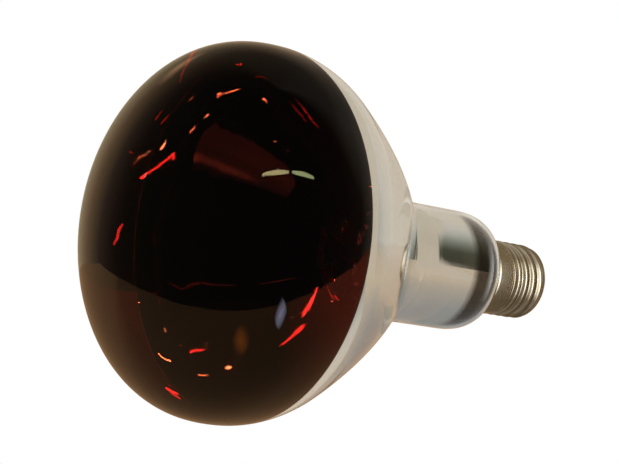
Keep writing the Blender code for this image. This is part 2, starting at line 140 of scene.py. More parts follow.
# The camera. Its three directions also give the studio's right, up and towards.
VIEW_RIGHT = Vector((0.16820, -0.62024, -0.76617))
VIEW_UP = Vector((0.98574, 0.10126, 0.13443))
VIEW_BACK = Vector((-0.00580, -0.77785, 0.62842))
CAMERA_PLACE = Vector((0.0, -0.62182, 0.60655))
CAMERA_LENS = 139.58
RING_CENTRE = Vector((0.0, 0.0, RING_Z))
STUDIO_TURN = Matrix((VIEW_RIGHT, VIEW_UP, VIEW_BACK)).transposed()
WHITE = (1.0, 1.0, 1.0)
BOTH_SIDES = (("left", -1), ("right", 1))

# ---------------------------------------------------------------- shapes


def arc(centre_r, centre_z, radius, start, end, steps):
    """Points along a round stretch of an outline."""
    points = []
    for step in range(steps + 1):
        angle = start + (end - start) * step / steps
        points.append((centre_r + radius * math.cos(angle), centre_z + radius * math.sin(angle)))
    return points


def inset(points, depth):
    """Move an outline inwards, square to itself."""
    moved = []
    last = len(points) - 1
    for index, (r, z) in enumerate(points):
        before = points[max(index - 1, 0)]
        after = points[min(index + 1, last)]
        along = (after[0] - before[0], after[1] - before[1])
        if r < 1e-7:
            along = (1.0, 0.0)
        length = math.hypot(*along)
        moved.append((max(r + depth * along[1] / length, 0.0), z - depth * along[0] / length))
    return moved


def face_outline(steps=60):
    points = []
    for step in range(steps + 1):
        angle = 0.5 * math.pi * step / steps
        r = RING_RADIUS * math.sin(angle) ** (2 / FACE_POWER_R)
        z = RING_Z + FACE_DEPTH * max(math.cos(angle), 0.0) ** (2 / FACE_POWER_Z)
        points.append((r, z))
    return points


def rim_outline(first_depth=0.0, last_angle=RIM_SWEEP, steps=12):
    start = math.asin(first_depth / RIM_RADIUS)
    return arc(RING_RADIUS - RIM_RADIUS, RING_Z, RIM_RADIUS, -start, -last_angle, steps)


def focal_length():
    """The bowl is a paraboloid that leaves the rim at the rim's own slope."""
    return 0.5 * rim_outline()[-1][0] * math.tan(RIM_SWEEP)


def reflector_outline(steps=40, fillet_steps=12, waist_steps=16):
    """The paraboloid, the fillet into the neck, and the waist that eases out to the full neck."""
    focus = focal_length()
    waist_r = NECK_RADIUS - NECK_WAIST
    end_r = waist_r
    for _ in range(30):
        end_r = (waist_r + NECK_FILLET) / (1 + NECK_FILLET / math.hypot(end_r, 2 * focus))
    rim_r, rim_z = rim_outline()[-1]
    points = []
    for step in range(1, steps + 1):
        r = rim_r + (end_r - rim_r) * step / steps
        points.append((r, rim_z - (rim_r**2 - r**2) / (4 * focus)))
    tilt = math.atan2(2 * focus, end_r)
    centre_z = points[-1][1] - NECK_FILLET * math.sin(tilt)
    fillet = arc(waist_r + NECK_FILLET, centre_z, NECK_FILLET, math.pi - tilt, math.pi, fillet_steps)
    points += fillet[1:]
    for step in range(1, waist_steps + 1):
        share = step / waist_steps
        z = centre_z + (NECK_STRAIGHT_Z - centre_z) * share
        r = waist_r + NECK_WAIST * 0.5 * (1 - math.cos(math.pi * share))
        points.append((r + RING_RIDGE * math.exp(-(((z - RIDGE_Z) / RIDGE_WIDTH) ** 2)), z))
    return points


def shoulder_outline(steps=22):
    flat_r = SEAL_RADIUS + SEAL_FILLET
    length = SHOULDER_END - SHOULDER_START
    points = []
    for step in range(steps + 1):
        angle = 0.5 * math.pi * step / steps
        r = flat_r + (NECK_RADIUS - flat_r) * max(math.cos(angle), 0.0) ** (2 / SHOULDER_POWER)
        depth = SHOULDER_START + length * math.sin(angle) ** (2 / SHOULDER_POWER)
        points.append((r, RING_Z - depth))
    return points


def seal_outline(steps=6):
    centre = (SEAL_RADIUS + SEAL_FILLET, RING_Z - SHOULDER_END - SEAL_FILLET)
    fillet = arc(*centre, SEAL_FILLET, 0.5 * math.pi, math.pi, steps)
    return fillet[1:] + [(SEAL_RADIUS, RING_Z - SEAL_END)]


def ruby_edge(azimuth):
    """The dip line isn't quite square to the axis."""
    return RUBY_EDGE + RUBY_TILT * math.cos(azimuth - RUBY_TILT_AZIMUTH)


def placed(name, data):
    """Put a mesh, light or camera into the scene."""
    made = bpy.data.objects.new(name, data)
    bpy.context.scene.collection.objects.link(made)
    return made


def finished(name, shape, sharp=35.0):
    """Turn a worked shape into a smooth object that keeps its sharp edges."""
    bmesh.ops.recalc_face_normals(shape, faces=shape.faces)
    mesh = bpy.data.meshes.new(name)
    shape.to_mesh(mesh)
    shape.free()
    mesh.shade_smooth()
    if sharp is not None:
        mesh.set_sharp_from_angle(angle=math.radians(sharp))
    return placed(name, mesh)


def turned(name, outline, segments=BULB_SEGMENTS, closed=False, move=None, sharp=35.0):
    """Turn outline(azimuth) round Z. A point on the axis is shared by every column."""
    shape = bmesh.new()
    shared = {}
    columns = []
    for step in range(segments):
        azimuth = TAU * step / segments
        points = outline(azimuth) if callable(outline) else outline
        column = []
        for index, (r, z) in enumerate(points):
            if r < 1e-7:
                if index not in shared:
                    shared[index] = shape.verts.new((0.0, 0.0, z))
                column.append(shared[index])
                continue
            place = Vector((r * math.cos(azimuth), r * math.sin(azimuth), z))
            column.append(shape.verts.new(move(place) if move else place))
        columns.append(column)
    rows = len(columns[0])
    pairs = [(row, row + 1) for row in range(rows - 1)]
    if closed:
        pairs.append((rows - 1, 0))
    for step in range(segments):
        here = columns[step]
        there = columns[(step + 1) % segments]
        for upper, lower in pairs:
            corners = dict.fromkeys([here[upper], here[lower], there[lower], there[upper]])
            if len(corners) > 2:
                shape.faces.new(list(corners))
    return finished(name, shape, sharp)


def smooth_path(points, per_span=8):
    """A Catmull-Rom curve through the points."""
    nodes = [Vector(point) for point in points]
    nodes = [2 * nodes[0] - nodes[1]] + nodes + [2 * nodes[-1] - nodes[-2]]
    path = []
    for index in range(1, len(nodes) - 2):
        a, b, c, d = nodes[index - 1 : index + 3]
        for step in range(per_span):
            t = step / per_span
            bend = (c - a) * t + (2 * a - 5 * b + 4 * c - d) * t**2
            path.append(0.5 * (2 * b + bend + (3 * b - a - 3 * c + d) * t**3))
    path.append(nodes[-2])
    return path


def skin(shape, rings):
    """Join rings of points into a closed tube."""
    sides = len(rings[0])
    for here, there in zip(rings, rings[1:]):
        for corner in range(sides):
            after = (corner + 1) % sides
            shape.faces.new((here[corner], here[after], there[after], there[corner]))
    shape.faces.new(rings[0])
    shape.faces.new(rings[-1])


def tube(name, path, radius, sides=14):
    """A round wire along the path, with rounded ends."""
    shape = bmesh.new()
    last = len(path) - 1
    side = None
    rings = []
    for index, place in enumerate(path):
        along = (path[min(index + 1, last)] - path[max(index - 1, 0)]).normalized()
        if side is None:
            side = along.orthogonal()
        side = (side - along * side.dot(along)).normalized()
        across = along.cross(side)
        rounds = [(0.0, 1.0)]
        if index == 0:
            rounds = [(-0.45, 0.45), (-0.3, 0.8), (0.0, 1.0)]
        if index == last:
            rounds = [(0.0, 1.0), (0.3, 0.8), (0.45, 0.45)]
        for shift, scale in rounds:
            ring = []
            for corner in range(sides):
                angle = TAU * corner / sides
                offset = side * math.cos(angle) + across * math.sin(angle)
                ring.append(shape.verts.new(place + along * shift * radius + offset * radius * scale))
            rings.append(ring)
    skin(shape, rings)
    return finished(name, shape, 50.0)


# ---------------------------------------------------------------- materials


def blank_material(name):
    made = bpy.data.materials.new(name)
    made.use_nodes = True
    tree = made.node_tree
    return made, tree, tree.nodes["Principled BSDF"]


def node(tree, kind, **sockets):
    """Add a shader node. A keyword names a socket, _0 numbers one, and set_ starts a setting."""
    made = tree.nodes.new("ShaderNode" + kind)
    for key, value in sockets.items():
        if key.startswith("set_"):
            setattr(made, key[4:], value)
            continue
        name = key.replace("_", " ")
        target = made.inputs[int(key[1:])] if key[1:].isdigit() else made.inputs[name]
        if isinstance(value, bpy.types.NodeSocket):
            tree.links.new(value, target)
        else:
            target.default_value = value
    return made


def object_place(tree, scale=(1.0, 1.0, 1.0)):
    """The surface point, in the object's own frame."""
    coordinates = node(tree, "TexCoord").outputs["Object"]
    mapping = node(tree, "Mapping", Vector=coordinates)
    mapping.inputs["Scale"].default_value = scale
    return mapping.outputs["Vector"]


def maths(tree, operation, first, second=None, third=None):
    made = tree.nodes.new("ShaderNodeMath")
    made.operation = operation
    for index, value in enumerate((first, second, third)):
        if value is None:
            continue
        if isinstance(value, bpy.types.NodeSocket):
            tree.links.new(value, made.inputs[index])
        else:
            made.inputs[index].default_value = value
    return made.outputs[0]


def product(tree, first, *rest):
    for value in rest:
        first = maths(tree, "MULTIPLY", first, value)
    return first


def noise_value(tree, place, scale, detail=4.0, roughness=0.55):
    settings = {"Scale": scale, "Detail": detail, "Roughness": roughness}
    return node(tree, "TexNoise", Vector=place, **settings).outputs[0]


def spread(tree, value, low, high, from_low=0.3, from_high=0.7):
    """Map a value's range from_low to from_high onto low to high, and hold it beyond them."""
    made = node(tree, "MapRange", Value=value)
    made.inputs["From Min"].default_value = from_low
    made.inputs["From Max"].default_value = from_high
    made.inputs["To Min"].default_value = low
    made.inputs["To Max"].default_value = high
    return made.outputs[0]


def blended(tree, factor, first, second):
    made = tree.nodes.new("ShaderNodeMix")
    made.data_type = "RGBA"
    tree.links.new(factor, made.inputs[0])
    for socket, colour in ((made.inputs[6], first), (made.inputs[7], second)):
        if isinstance(colour, bpy.types.NodeSocket):
            tree.links.new(colour, socket)
        else:
            socket.default_value = (*colour, 1.0)
    return made.outputs[2]


def mottled(tree, cloud, first, second):
    """Two colours, mixed by the middle of a noise's range."""
    return blended(tree, spread(tree, cloud, 0.0, 1.0), first, second)


def painted(tree, shader, colour, roughness, metallic=0.0):
    tree.links.new(colour, shader.inputs["Base Color"])
    tree.links.new(roughness, shader.inputs["Roughness"])
    shader.inputs["Metallic"].default_value = metallic


def reach_along(tree, place, direction, origin=None):
    """How far a place lies along a fixed direction, counted from the origin."""
    if origin is not None:
        moved = node(tree, "VectorMath", set_operation="SUBTRACT", _0=place)
        moved.inputs[1].default_value = origin
        place = moved.outputs[0]
    made = node(tree, "VectorMath", set_operation="DOT_PRODUCT", _0=place)
    made.inputs[1].default_value = direction
    return made.outputs["Value"]


def bumped(tree, shader, height, distance, strength=1.0):
    made = node(tree, "Bump", Height=height, Distance=distance, Strength=strength)
    tree.links.new(made.outputs[0], shader.inputs["Normal"])


def distance_from_axis(tree):
    flat = node(tree, "VectorMath", set_operation="MULTIPLY", _0=object_place(tree))
    flat.inputs[1].default_value = (1.0, 1.0, 0.0)
    return node(tree, "VectorMath", set_operation="LENGTH", _0=flat.outputs[0]).outputs["Value"]


def glass(name, absorbed, density, ripple=0.000012):
    """Blown glass: a plain transmitting shell that takes its colour from its depth."""
    made, tree, shader = blank_material(name)
    shader.inputs["Base Color"].default_value = (1.0, 1.0, 1.0, 1.0)
    shader.inputs["Roughness"].default_value = 0.0
    shader.inputs["IOR"].default_value = 1.5
    shader.inputs["Transmission Weight"].default_value = 1.0
    place = object_place(tree)
    bumped(tree, shader, noise_value(tree, place, 45.0, 2.0), ripple)
    volume = node(tree, "VolumeAbsorption")
    volume.inputs["Color"].default_value = (*absorbed, 1.0)
    volume.inputs["Density"].default_value = density
    tree.links.new(volume.outputs[0], tree.nodes["Material Output"].inputs["Volume"])
    return made


def mirror(name, waves):
    """Evaporated aluminium that browns and thins past its edge on the shoulder."""
    made, tree, shader = blank_material(name)
    place = object_place(tree)
    cloud = noise_value(tree, place, 38.0, 3.0)
    colour = mottled(tree, cloud, (0.84, 0.80, 0.735), (0.885, 0.86, 0.81))
    height = reach_along(tree, place, (0.0, 0.0, 1.0))
    edge_z = RING_Z - MIRROR_END
    thin = spread(tree, height, 1.0, 0.0, edge_z - FRINGE_START, edge_z)
    colour = blended(tree, thin, colour, (0.055, 0.034, 0.014))
    grain = noise_value(tree, place, 420.0, 3.0)
    painted(tree, shader, colour, spread(tree, grain, 0.02, 0.05), metallic=1.0)
    bumped(tree, shader, noise_value(tree, place, 70.0, 2.0), waves)
    return made


def nickelled_brass():
    """Nickel plate, worn in patches, and darker in patches towards the thread's roots."""
    made, tree, shader = blank_material("nickelled_brass_shell")
    worn = noise_value(tree, object_place(tree), 260.0, 5.0)
    plate = mottled(tree, worn, (0.60, 0.56, 0.49), (0.50, 0.44, 0.34))
    root_r = SHELL_RADIUS - THREAD_DEPTH
    root = spread(tree, distance_from_axis(tree), 1.0, 0.0, root_r, SHELL_RADIUS - 0.3 * MM)
    # darker in patches towards the thread's roots
    root_darkening = maths(tree, "MULTIPLY", root, spread(tree, worn, 0.35, 0.9))
    colour = blended(tree, root_darkening, plate, (0.27, 0.215, 0.14))
    fine = noise_value(tree, object_place(tree, (1.0, 1.0, 9.0)), 700.0, 4.0)
    painted(tree, shader, colour, spread(tree, fine, 0.20, 0.28), metallic=1.0)
    bumped(tree, shader, fine, 0.000004)
    return made


def cured_cement():
    made, tree, shader = blank_material("cured_cement")
    place = object_place(tree)
    broad = noise_value(tree, place, 900.0, 6.0, 0.65)
    cells = node(tree, "TexVoronoi", Vector=place, Scale=2700.0)
    colour = mottled(tree, broad, (0.22, 0.16, 0.10), (0.50, 0.41, 0.30))
    painted(tree, shader, colour, spread(tree, cells.outputs["Distance"], 0.78, 0.9, 0.1, 0.7))
    bumped(tree, shader, broad, 0.0002)
    return made


def metal(name, bright, dull, scale, smooth, rough, bump=0.00001):
    """Bare metal, dulled and roughened in the same patches."""
    made, tree, shader = blank_material(name)
    place = object_place(tree)
    patch = noise_value(tree, place, scale, 5.0)
    colour = mottled(tree, patch, dull, bright)
    painted(tree, shader, colour, spread(tree, patch, rough, smooth), metallic=1.0)
    bumped(tree, shader, noise_value(tree, place, scale * 4, 4.0), bump)
    return made


def vitreous():
    made, tree, shader = blank_material("black_vitreous_enamel")
    place = object_place(tree)
    cloud = noise_value(tree, place, 300.0, 4.0)
    colour = mottled(tree, cloud, (0.006, 0.005, 0.009), (0.022, 0.018, 0.026))
    painted(tree, shader, colour, spread(tree, cloud, 0.07, 0.2))
    bumped(tree, shader, noise_value(tree, place, 500.0, 3.0), 0.00004)
    return made


def split_mica():
    made, tree, shader = blank_material("split_mica")
    place = object_place(tree)
    flake = node(tree, "TexVoronoi", Vector=place, Scale=160.0).outputs["Distance"]
    cloud = noise_value(tree, place, 120.0, 5.0)
    colour = mottled(tree, cloud, (0.42, 0.34, 0.22), (0.66, 0.60, 0.47))
    painted(tree, shader, colour, spread(tree, flake, 0.18, 0.45, 0.0, 0.8))
    bumped(tree, shader, flake, 0.00005)
    return made


# ---------------------------------------------------------------- pieces


def dress(piece, finish, slot, *nodes):
    """Give a piece its material and its body, and hide the CAD nodes that it replaces. The slot is not
    used.
    """
    piece.data.materials.append(finish)
    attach(piece, "root")
    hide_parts(*nodes)


RUBY = glass("ruby_glass", (0.702, 0.379, 0.351), 4500.0)
CLEAR = glass("clear_glass", (0.55, 0.8, 0.5), 12.0)

# The film is a little less even on the side that faces the lamp's inside
SILVER = mirror("evaporated_aluminium", 0.00002)
INNER_SILVER = mirror("evaporated_aluminium_inside", 0.00006)


def make_ruby_face():
    """The ruby glass, from the face's middle to its edge just behind the widest circle."""
    dome = face_outline()

    def outline(azimuth):
        last_angle = math.asin(ruby_edge(azimuth) / RIM_RADIUS)
        outer = dome + rim_outline(0.0, last_angle, 6)[1:]
        return outer + inset(outer, GLASS_WALL)[::-1]

    dress(turned("ruby_face", outline), RUBY, "ruby_glass", "ruby_face_filter")


def make_clear_envelope():
    """The clear glass, from the ruby edge back to the seal."""
    tail = reflector_outline() + shoulder_outline() + seal_outline()

    def outline(azimuth):
        outer = rim_outline(ruby_edge(azimuth) + SEAM) + tail
        return outer + inset(outer, GLASS_WALL)[::-1]

    dress(turned("clear_envelope", outline, closed=True), CLEAR, "clear_glass", "glass_envelope")


def make_mirror_film():
    """The film inside the bowl and neck, and its fringe on the shoulder."""
    bowl = reflector_outline()
    fringe = [point for point in shoulder_outline() if point[1] > FRINGE_Z]
    neck_steps = 8

    def outline(azimuth):
        wander = noise.noise(Vector((3 * math.cos(azimuth), 3 * math.sin(azimuth), 4.0)))
        end_z = RING_Z - MIRROR_END - MIRROR_WANDER * wander
        surface = rim_outline(ruby_edge(azimuth) + 4 * SEAM) + bowl
        start_z = surface[-1][1]
        for step in range(1, neck_steps + 1):
            surface.append((NECK_RADIUS, start_z + (end_z - start_z) * step / neck_steps))
        surface += fringe
        outer = inset(surface, GLASS_WALL + MIRROR_GAP)
        inner = inset(surface, GLASS_WALL + MIRROR_GAP + MIRROR_THICKNESS)
        return outer + inner[::-1]

    film = turned("mirror_film", outline, closed=True)
    dress(film, SILVER, "mirror_film", "mirror_coating")
    film.data.materials.append(INNER_SILVER)
    for face in film.data.polygons:
        outwards = Vector((face.center.x, face.center.y, 0.0)).dot(face.normal)
        face.material_index = 1 if outwards < 0 else 0


def thread_shape(z):
    """The thread's strength and its mean radius at a height."""
    below_collar = min(max((COLLAR_END_Z - z) / THREAD_FADE, 0.0), 1.0)
    above_lip = min(max((z - THREAD_END_Z) / THREAD_FADE, 0.0), 1.0)
    strength = math.sin(0.5 * math.pi * below_collar) * math.sin(0.5 * math.pi * above_lip)
    return strength, SHELL_RADIUS - 0.5 * THREAD_DEPTH * math.sin(0.5 * math.pi * below_collar)


def make_shell():
    """The shell: a rolled rim with one shallow groove, the collar, the thread and the lip."""
    lip_start_r = thread_shape(THREAD_END_Z)[1]
    top_z = SHELL_RIM_Z - 2.4 * MM
    steps = 120
    rim = [(0.32, 0.0), (0.12, 0.06), (0.0, 0.22), (0.0, 0.7)]
    rim += [(0.1, 1.0), (0.16, 1.3), (0.1, 1.6), (0.0, 1.9)]

    def outline(azimuth):
        outer = [(SHELL_RADIUS - depth * MM, SHELL_RIM_Z - drop * MM) for depth, drop in rim]
        for step in range(steps + 1):
            z = top_z + (THREAD_END_Z - top_z) * step / steps
            strength, mean = thread_shape(z)
            phase = TAU * (z - CREST_Z) / THREAD_PITCH - azimuth
            outer.append((mean + 0.5 * THREAD_DEPTH * strength * math.cos(phase), z))
        for step in range(1, 8):
            angle = 0.5 * math.pi * step / 7
            r = LIP_RADIUS + (lip_start_r - LIP_RADIUS) * math.cos(angle)
            outer.append((r, THREAD_END_Z - (THREAD_END_Z - LIP_Z) * math.sin(angle)))
        return outer + inset(outer, SHELL_WALL)[::-1]

    shell = turned("threaded_shell", outline, 144, closed=True)
    dress(shell, nickelled_brass(), "nickelled_brass", "screw_shell")


def make_cement():
    """Cured cement, squeezed out a little between the shell and the glass."""
    inner_r = SEAL_RADIUS + 0.2 * MM
    top_z = RING_Z - SHOULDER_END - 0.15 * MM
    wall_r = SHELL_RADIUS - SHELL_WALL - 0.12 * MM
    bead_z = SHELL_RIM_Z + 0.1 * MM
    outline = [(inner_r + SEAL_FILLET, top_z), (SHELL_RADIUS - 1.0 * MM, top_z)]
    outline += [(SHELL_RADIUS - 0.4 * MM, top_z - 0.02 * MM), (SHELL_RADIUS, top_z - 0.15 * MM)]
    outline += [(SHELL_RADIUS + 0.05 * MM, top_z - 0.15 * MM * (step + 1)) for step in range(1, 6)]
    outline += [(SHELL_RADIUS - 0.2 * MM, bead_z), (wall_r, bead_z)]
    outline += [(wall_r, bead_z + (CEMENT_FOOT_Z - bead_z) * step / 5) for step in range(1, 6)]
    outline += [(inner_r + 0.5 * MM, CEMENT_FOOT_Z), (inner_r, CEMENT_FOOT_Z + 0.4 * MM)]
    outline += [(inner_r, CEMENT_FOOT_Z + 2.8 * MM), (inner_r, top_z - SEAL_FILLET)]

    def roughened(place):
        """Lumpy where it is squeezed out, and nearly smooth where it lies against the shell and glass."""
        out = Vector((place.x, place.y, 0.0)).normalized()
        lump = noise.noise(place * 1100.0) * 0.10 + noise.noise(place * 2600.0) * 0.08
        squeezed = math.hypot(place.x, place.y) > SHELL_RADIUS - 0.3 * MM
        return place + out * lump * MM * (2.0 if squeezed else 0.3)

    ring = turned("cement_ring", outline, 300, closed=True, move=roughened, sharp=60.0)
    dress(ring, cured_cement(), "basing_cement", "basing_cement")


def make_insulator():
    """Moulded glass that closes the shell and comes down to the contact in a shallow dome."""
    throat = LIP_RADIUS - SHELL_WALL - 0.25 * MM
    body_r = SHELL_RADIUS - THREAD_DEPTH - SHELL_WALL - 0.6 * MM
    seat_z = THREAD_END_Z + 0.6 * MM
    outline = [(INSULATOR_HOLE, INSULATOR_TOP_Z), (body_r - 0.4 * MM, INSULATOR_TOP_Z)]
    outline += [(body_r, INSULATOR_TOP_Z - 0.4 * MM), (body_r, seat_z)]
    outline += [(throat, seat_z - 0.5 * MM), (throat, LIP_Z + 0.1 * MM)]
    start = Vector((throat - 0.2 * MM, LIP_Z - 0.15 * MM))
    end = Vector((CONTACT_RADIUS + 1.5 * MM, INSULATOR_FOOT_Z + 0.25 * MM))
    for step in range(9):
        place = start.lerp(end, step / 8)
        outline.append((place.x, place.y + 0.35 * MM * math.sin(math.pi * step / 8)))
    foot = (CONTACT_RADIUS + 1.15 * MM, INSULATOR_FOOT_Z + 0.3 * MM)
    outline += arc(*foot, 0.3 * MM, -0.3, -0.5 * math.pi, 4)
    outline += [(CONTACT_RADIUS - 0.4 * MM, INSULATOR_FOOT_Z), (INSULATOR_HOLE, INSULATOR_FOOT_Z)]
    piece = turned("vitreous_insulator", outline, 128, closed=True, sharp=30.0)
    dress(piece, vitreous(), "vitreous_insulator", "cap_insulator")


def make_contact():
    """A spun plate with a rounded edge and a shallow ring round its hole."""
    edge = 0.45 * MM
    outline = [(CONTACT_HOLE, CONTACT_THICKNESS), (CONTACT_RADIUS, CONTACT_THICKNESS)]
    outline += arc(CONTACT_RADIUS - edge, edge, edge, 0.0, -0.5 * math.pi, 6)
    outline += [(3.4 * MM, 0.0), (3.2 * MM, 0.04 * MM), (2.9 * MM, 0.06 * MM)]
    outline += [(2.4 * MM, 0.06 * MM), (CONTACT_HOLE + 0.1 * MM, 0.03 * MM), (CONTACT_HOLE, 0.1 * MM)]
    brass = metal("spun_contact_brass", (0.74, 0.58, 0.30), (0.50, 0.36, 0.17), 520.0, 0.22, 0.42, 0.00002)
    dress(turned("contact_plate", outline, 96, closed=True), brass, "contact_brass", "centre_contact")


def solder_metal(name):
    return metal(name, (0.70, 0.70, 0.68), (0.42, 0.41, 0.39), 900.0, 0.22, 0.5, 0.00006)


def make_contact_bead():
    """The bead that fills the contact's hole, flush with its face."""
    top = [(0.0, 2.0 * MM), (0.6 * MM, 1.95 * MM), (1.1 * MM, 1.7 * MM), (1.5 * MM, 1.1 * MM)]
    foot_r = CONTACT_HOLE - 0.2 * MM
    foot = [(foot_r, 0.7 * MM), (foot_r, 0.12 * MM), (foot_r - 0.1 * MM, 0.02 * MM)]
    foot += [(1.2 * MM, 0.0), (0.8 * MM, 0.02 * MM), (0.4 * MM, 0.05 * MM), (0.0, 0.06 * MM)]

    def lumpy(place):
        return place * (1.0 + 0.03 * noise.noise(place * 900.0))

    bead = turned("contact_bead", top + foot, 64, move=lumpy, sharp=60.0)
    dress(bead, solder_metal("contact_tin_lead"), "solder", "contact_solder")


def make_side_bead():
    """A frozen dab on the collar, thicker where the wire goes in."""
    shape = bmesh.new()
    bmesh.ops.create_icosphere(shape, subdivisions=5, radius=1.0)
    centre = Vector((0.0, SHELL_RADIUS + 0.75 * MM, SHELL_RIM_Z - SOLDER_DROP))
    for vertex in shape.verts:
        unit = vertex.co.copy()
        swell = 1.0 + 0.16 * noise.noise(unit * 1.7) + 0.06 * noise.noise(unit * 4.5)
        high = 1.0 + 0.25 * max(unit.z, 0.0)
        place = Vector((2.0 * unit.x, 0.62 * unit.y * high, 1.35 * unit.z)) * swell * MM
        if unit.y < 0.3:
            place.y -= SHELL_RADIUS - math.sqrt(SHELL_RADIUS**2 - place.x**2)
        vertex.co = centre + place
    dab = finished("side_bead", shape, None)
    dress(dab, solder_metal("side_tin_lead"), "solder", "shell_solder")


def clear_stem_glass(name):
    return glass(name, (0.6, 0.85, 0.6), 25.0, 0.00002)


def make_flare():
    """The flared tube, up from the seal edge to the press."""
    seal_z = RING_Z - SEAL_END - 0.3 * MM
    outer = [(STEM_RADIUS, z) for z in (STEM_TOP_Z, 44 * MM, 41 * MM, FLARE_START_Z)]
    for step in range(1, 15):
        angle = 0.5 * math.pi * step / 14
        r = STEM_RADIUS + (9.4 * MM - STEM_RADIUS) * (1 - math.cos(angle))
        outer.append((r, FLARE_START_Z - FLARE_DROP * math.sin(angle)))
    edge = [(9.6 * MM, seal_z), (10.9 * MM, seal_z), (FLARE_RADIUS, seal_z - 0.3 * MM)]
    edge += [(FLARE_RADIUS, seal_z - 0.75 * MM), (11.0 * MM, seal_z - 1.0 * MM)]
    edge += [(8.6 * MM, seal_z - 1.0 * MM)]
    outline = outer + edge + inset(outer, STEM_WALL)[::-1]
    flare = turned("flared_stem", outline, 96, closed=True)
    dress(flare, clear_stem_glass("flare_glass_clear"), "stem_glass", "stem_flare")


def make_exhaust():
    """The pumping tube, closed by a drawn tip."""
    levels = (STEM_TOP_Z, 40 * MM, 30 * MM, 22 * MM)
    outline = [(EXHAUST_RADIUS, z) for z in levels]
    outline += arc(0.0, EXHAUST_BEND_Z, EXHAUST_RADIUS, 0.0, -1.25, 8)
    outline += [(0.35 * MM, 11.2 * MM), (0.0, 11.05 * MM)]
    bore = EXHAUST_RADIUS - EXHAUST_WALL
    inside = [(bore, STEM_TOP_Z), (bore, 30 * MM), (bore, 22 * MM)]
    inside += arc(0.0, EXHAUST_BEND_Z, bore, 0.0, -0.5 * math.pi, 8)
    inside[-1] = (0.0, EXHAUST_BEND_Z - bore)
    pipe = turned("tipped_exhaust", inside[::-1] + outline, 56)
    dress(pipe, clear_stem_glass("exhaust_glass_clear"), "stem_glass", "exhaust_tube")


def make_arbor():
    """The glass rod on the press."""
    foot_z = PRESS_TOP_Z + 0.3 * MM
    outline = [(0.0, ARBOR_TOP_Z), (ARBOR_RADIUS - 0.4 * MM, ARBOR_TOP_Z)]
    outline += [(ARBOR_RADIUS, z) for z in (ARBOR_TOP_Z - 0.4 * MM, 70 * MM, 63 * MM, foot_z + 0.2 * MM)]
    outline += [(ARBOR_RADIUS - 0.3 * MM, foot_z), (0.0, foot_z)]
    arbor = turned("glass_arbor", outline, 48)
    dress(arbor, clear_stem_glass("arbor_glass_clear"), "stem_glass", "arbor_rod")


def make_button():
    """The glass bead that the hooks are set in."""
    half = 2.4 * MM
    steps = 24
    outline = [(0.0, BUTTON_Z + half)]
    for step in range(1, steps):
        angle = math.pi * step / steps
        outline.append((BUTTON_RADIUS * math.sin(angle) ** 0.9, BUTTON_Z + half * math.cos(angle)))
    outline.append((0.0, BUTTON_Z - half))
    button = turned("glass_button", outline, 64)
    dress(button, clear_stem_glass("button_glass_clear"), "stem_glass", "arbor_button")


def make_press():
    """The pinched block: a rounded rectangle, fuller where each wire runs through it."""
    shape = bmesh.new()
    around = 96
    levels = 26
    square = 0.35
    rings = []
    for level in range(levels + 1):
        t = level / levels
        z = PRESS_BASE_Z + (PRESS_TOP_Z - PRESS_BASE_Z) * t
        from_end = min(t, 1 - t) * levels / 2.0
        close = 1.0 if from_end >= 1 else 0.86 + 0.14 * math.sin(0.5 * math.pi * from_end)
        ring = []
        for corner in range(around):
            angle = TAU * corner / around
            x = math.copysign(abs(math.cos(angle)) ** square, math.cos(angle))
            y = math.copysign(abs(math.sin(angle)) ** square, math.sin(angle))
            full = 1.0 - 0.12 * math.sin(math.pi * t) * (1 - math.cos(TAU * x * 0.74)) * 0.5
            place = (PRESS_HALF_WIDTH * x * close, PRESS_HALF_DEPTH * y * close * full, z)
            ring.append(shape.verts.new(place))
        rings.append(ring)
    skin(shape, rings)
    block = finished("pinched_press", shape, 40.0)
    dress(block, clear_stem_glass("press_glass_clear"), "stem_glass", "stem_press")


def lead_path(side):
    """Up from the press, and spread out to the coil's end."""
    x = side * LEAD_X
    end_x = side * FILAMENT_ARC_RADIUS * math.sin(0.5 * FILAMENT_OPENING)
    end_y = -FILAMENT_ARC_RADIUS * math.cos(0.5 * FILAMENT_OPENING)
    points = [(x, 0.0, z * MM) for z in (57.3, 66.0, 72.0)]
    points += [(0.5 * (x + end_x), 0.4 * end_y, 77 * MM)]
    points += [(end_x, end_y, 82 * MM), (end_x, end_y, 86.2 * MM)]
    return smooth_path(points)


def crimped_collar(name, x):
    """A short sleeve on a lead, waisted where it is crimped, under the heat shield."""
    half = 0.5 * COLLAR_LENGTH
    middle_z = SHIELD_Z - 0.3 * MM - half
    upper = [(0.9 * MM, half - 0.15 * MM), (1.05 * MM, half), (1.35 * MM, half)]
    upper += [(1.5 * MM, half - 0.15 * MM), (1.42 * MM, 0.3 * MM)]
    outline = [(r, middle_z + up) for r, up in upper]
    outline += [(r, middle_z - up) for r, up in reversed(upper)]
    collar = turned(name, outline, 48, closed=True)
    collar.data.transform(Matrix.Translation((x, 0.0, 0.0)))
    return collar


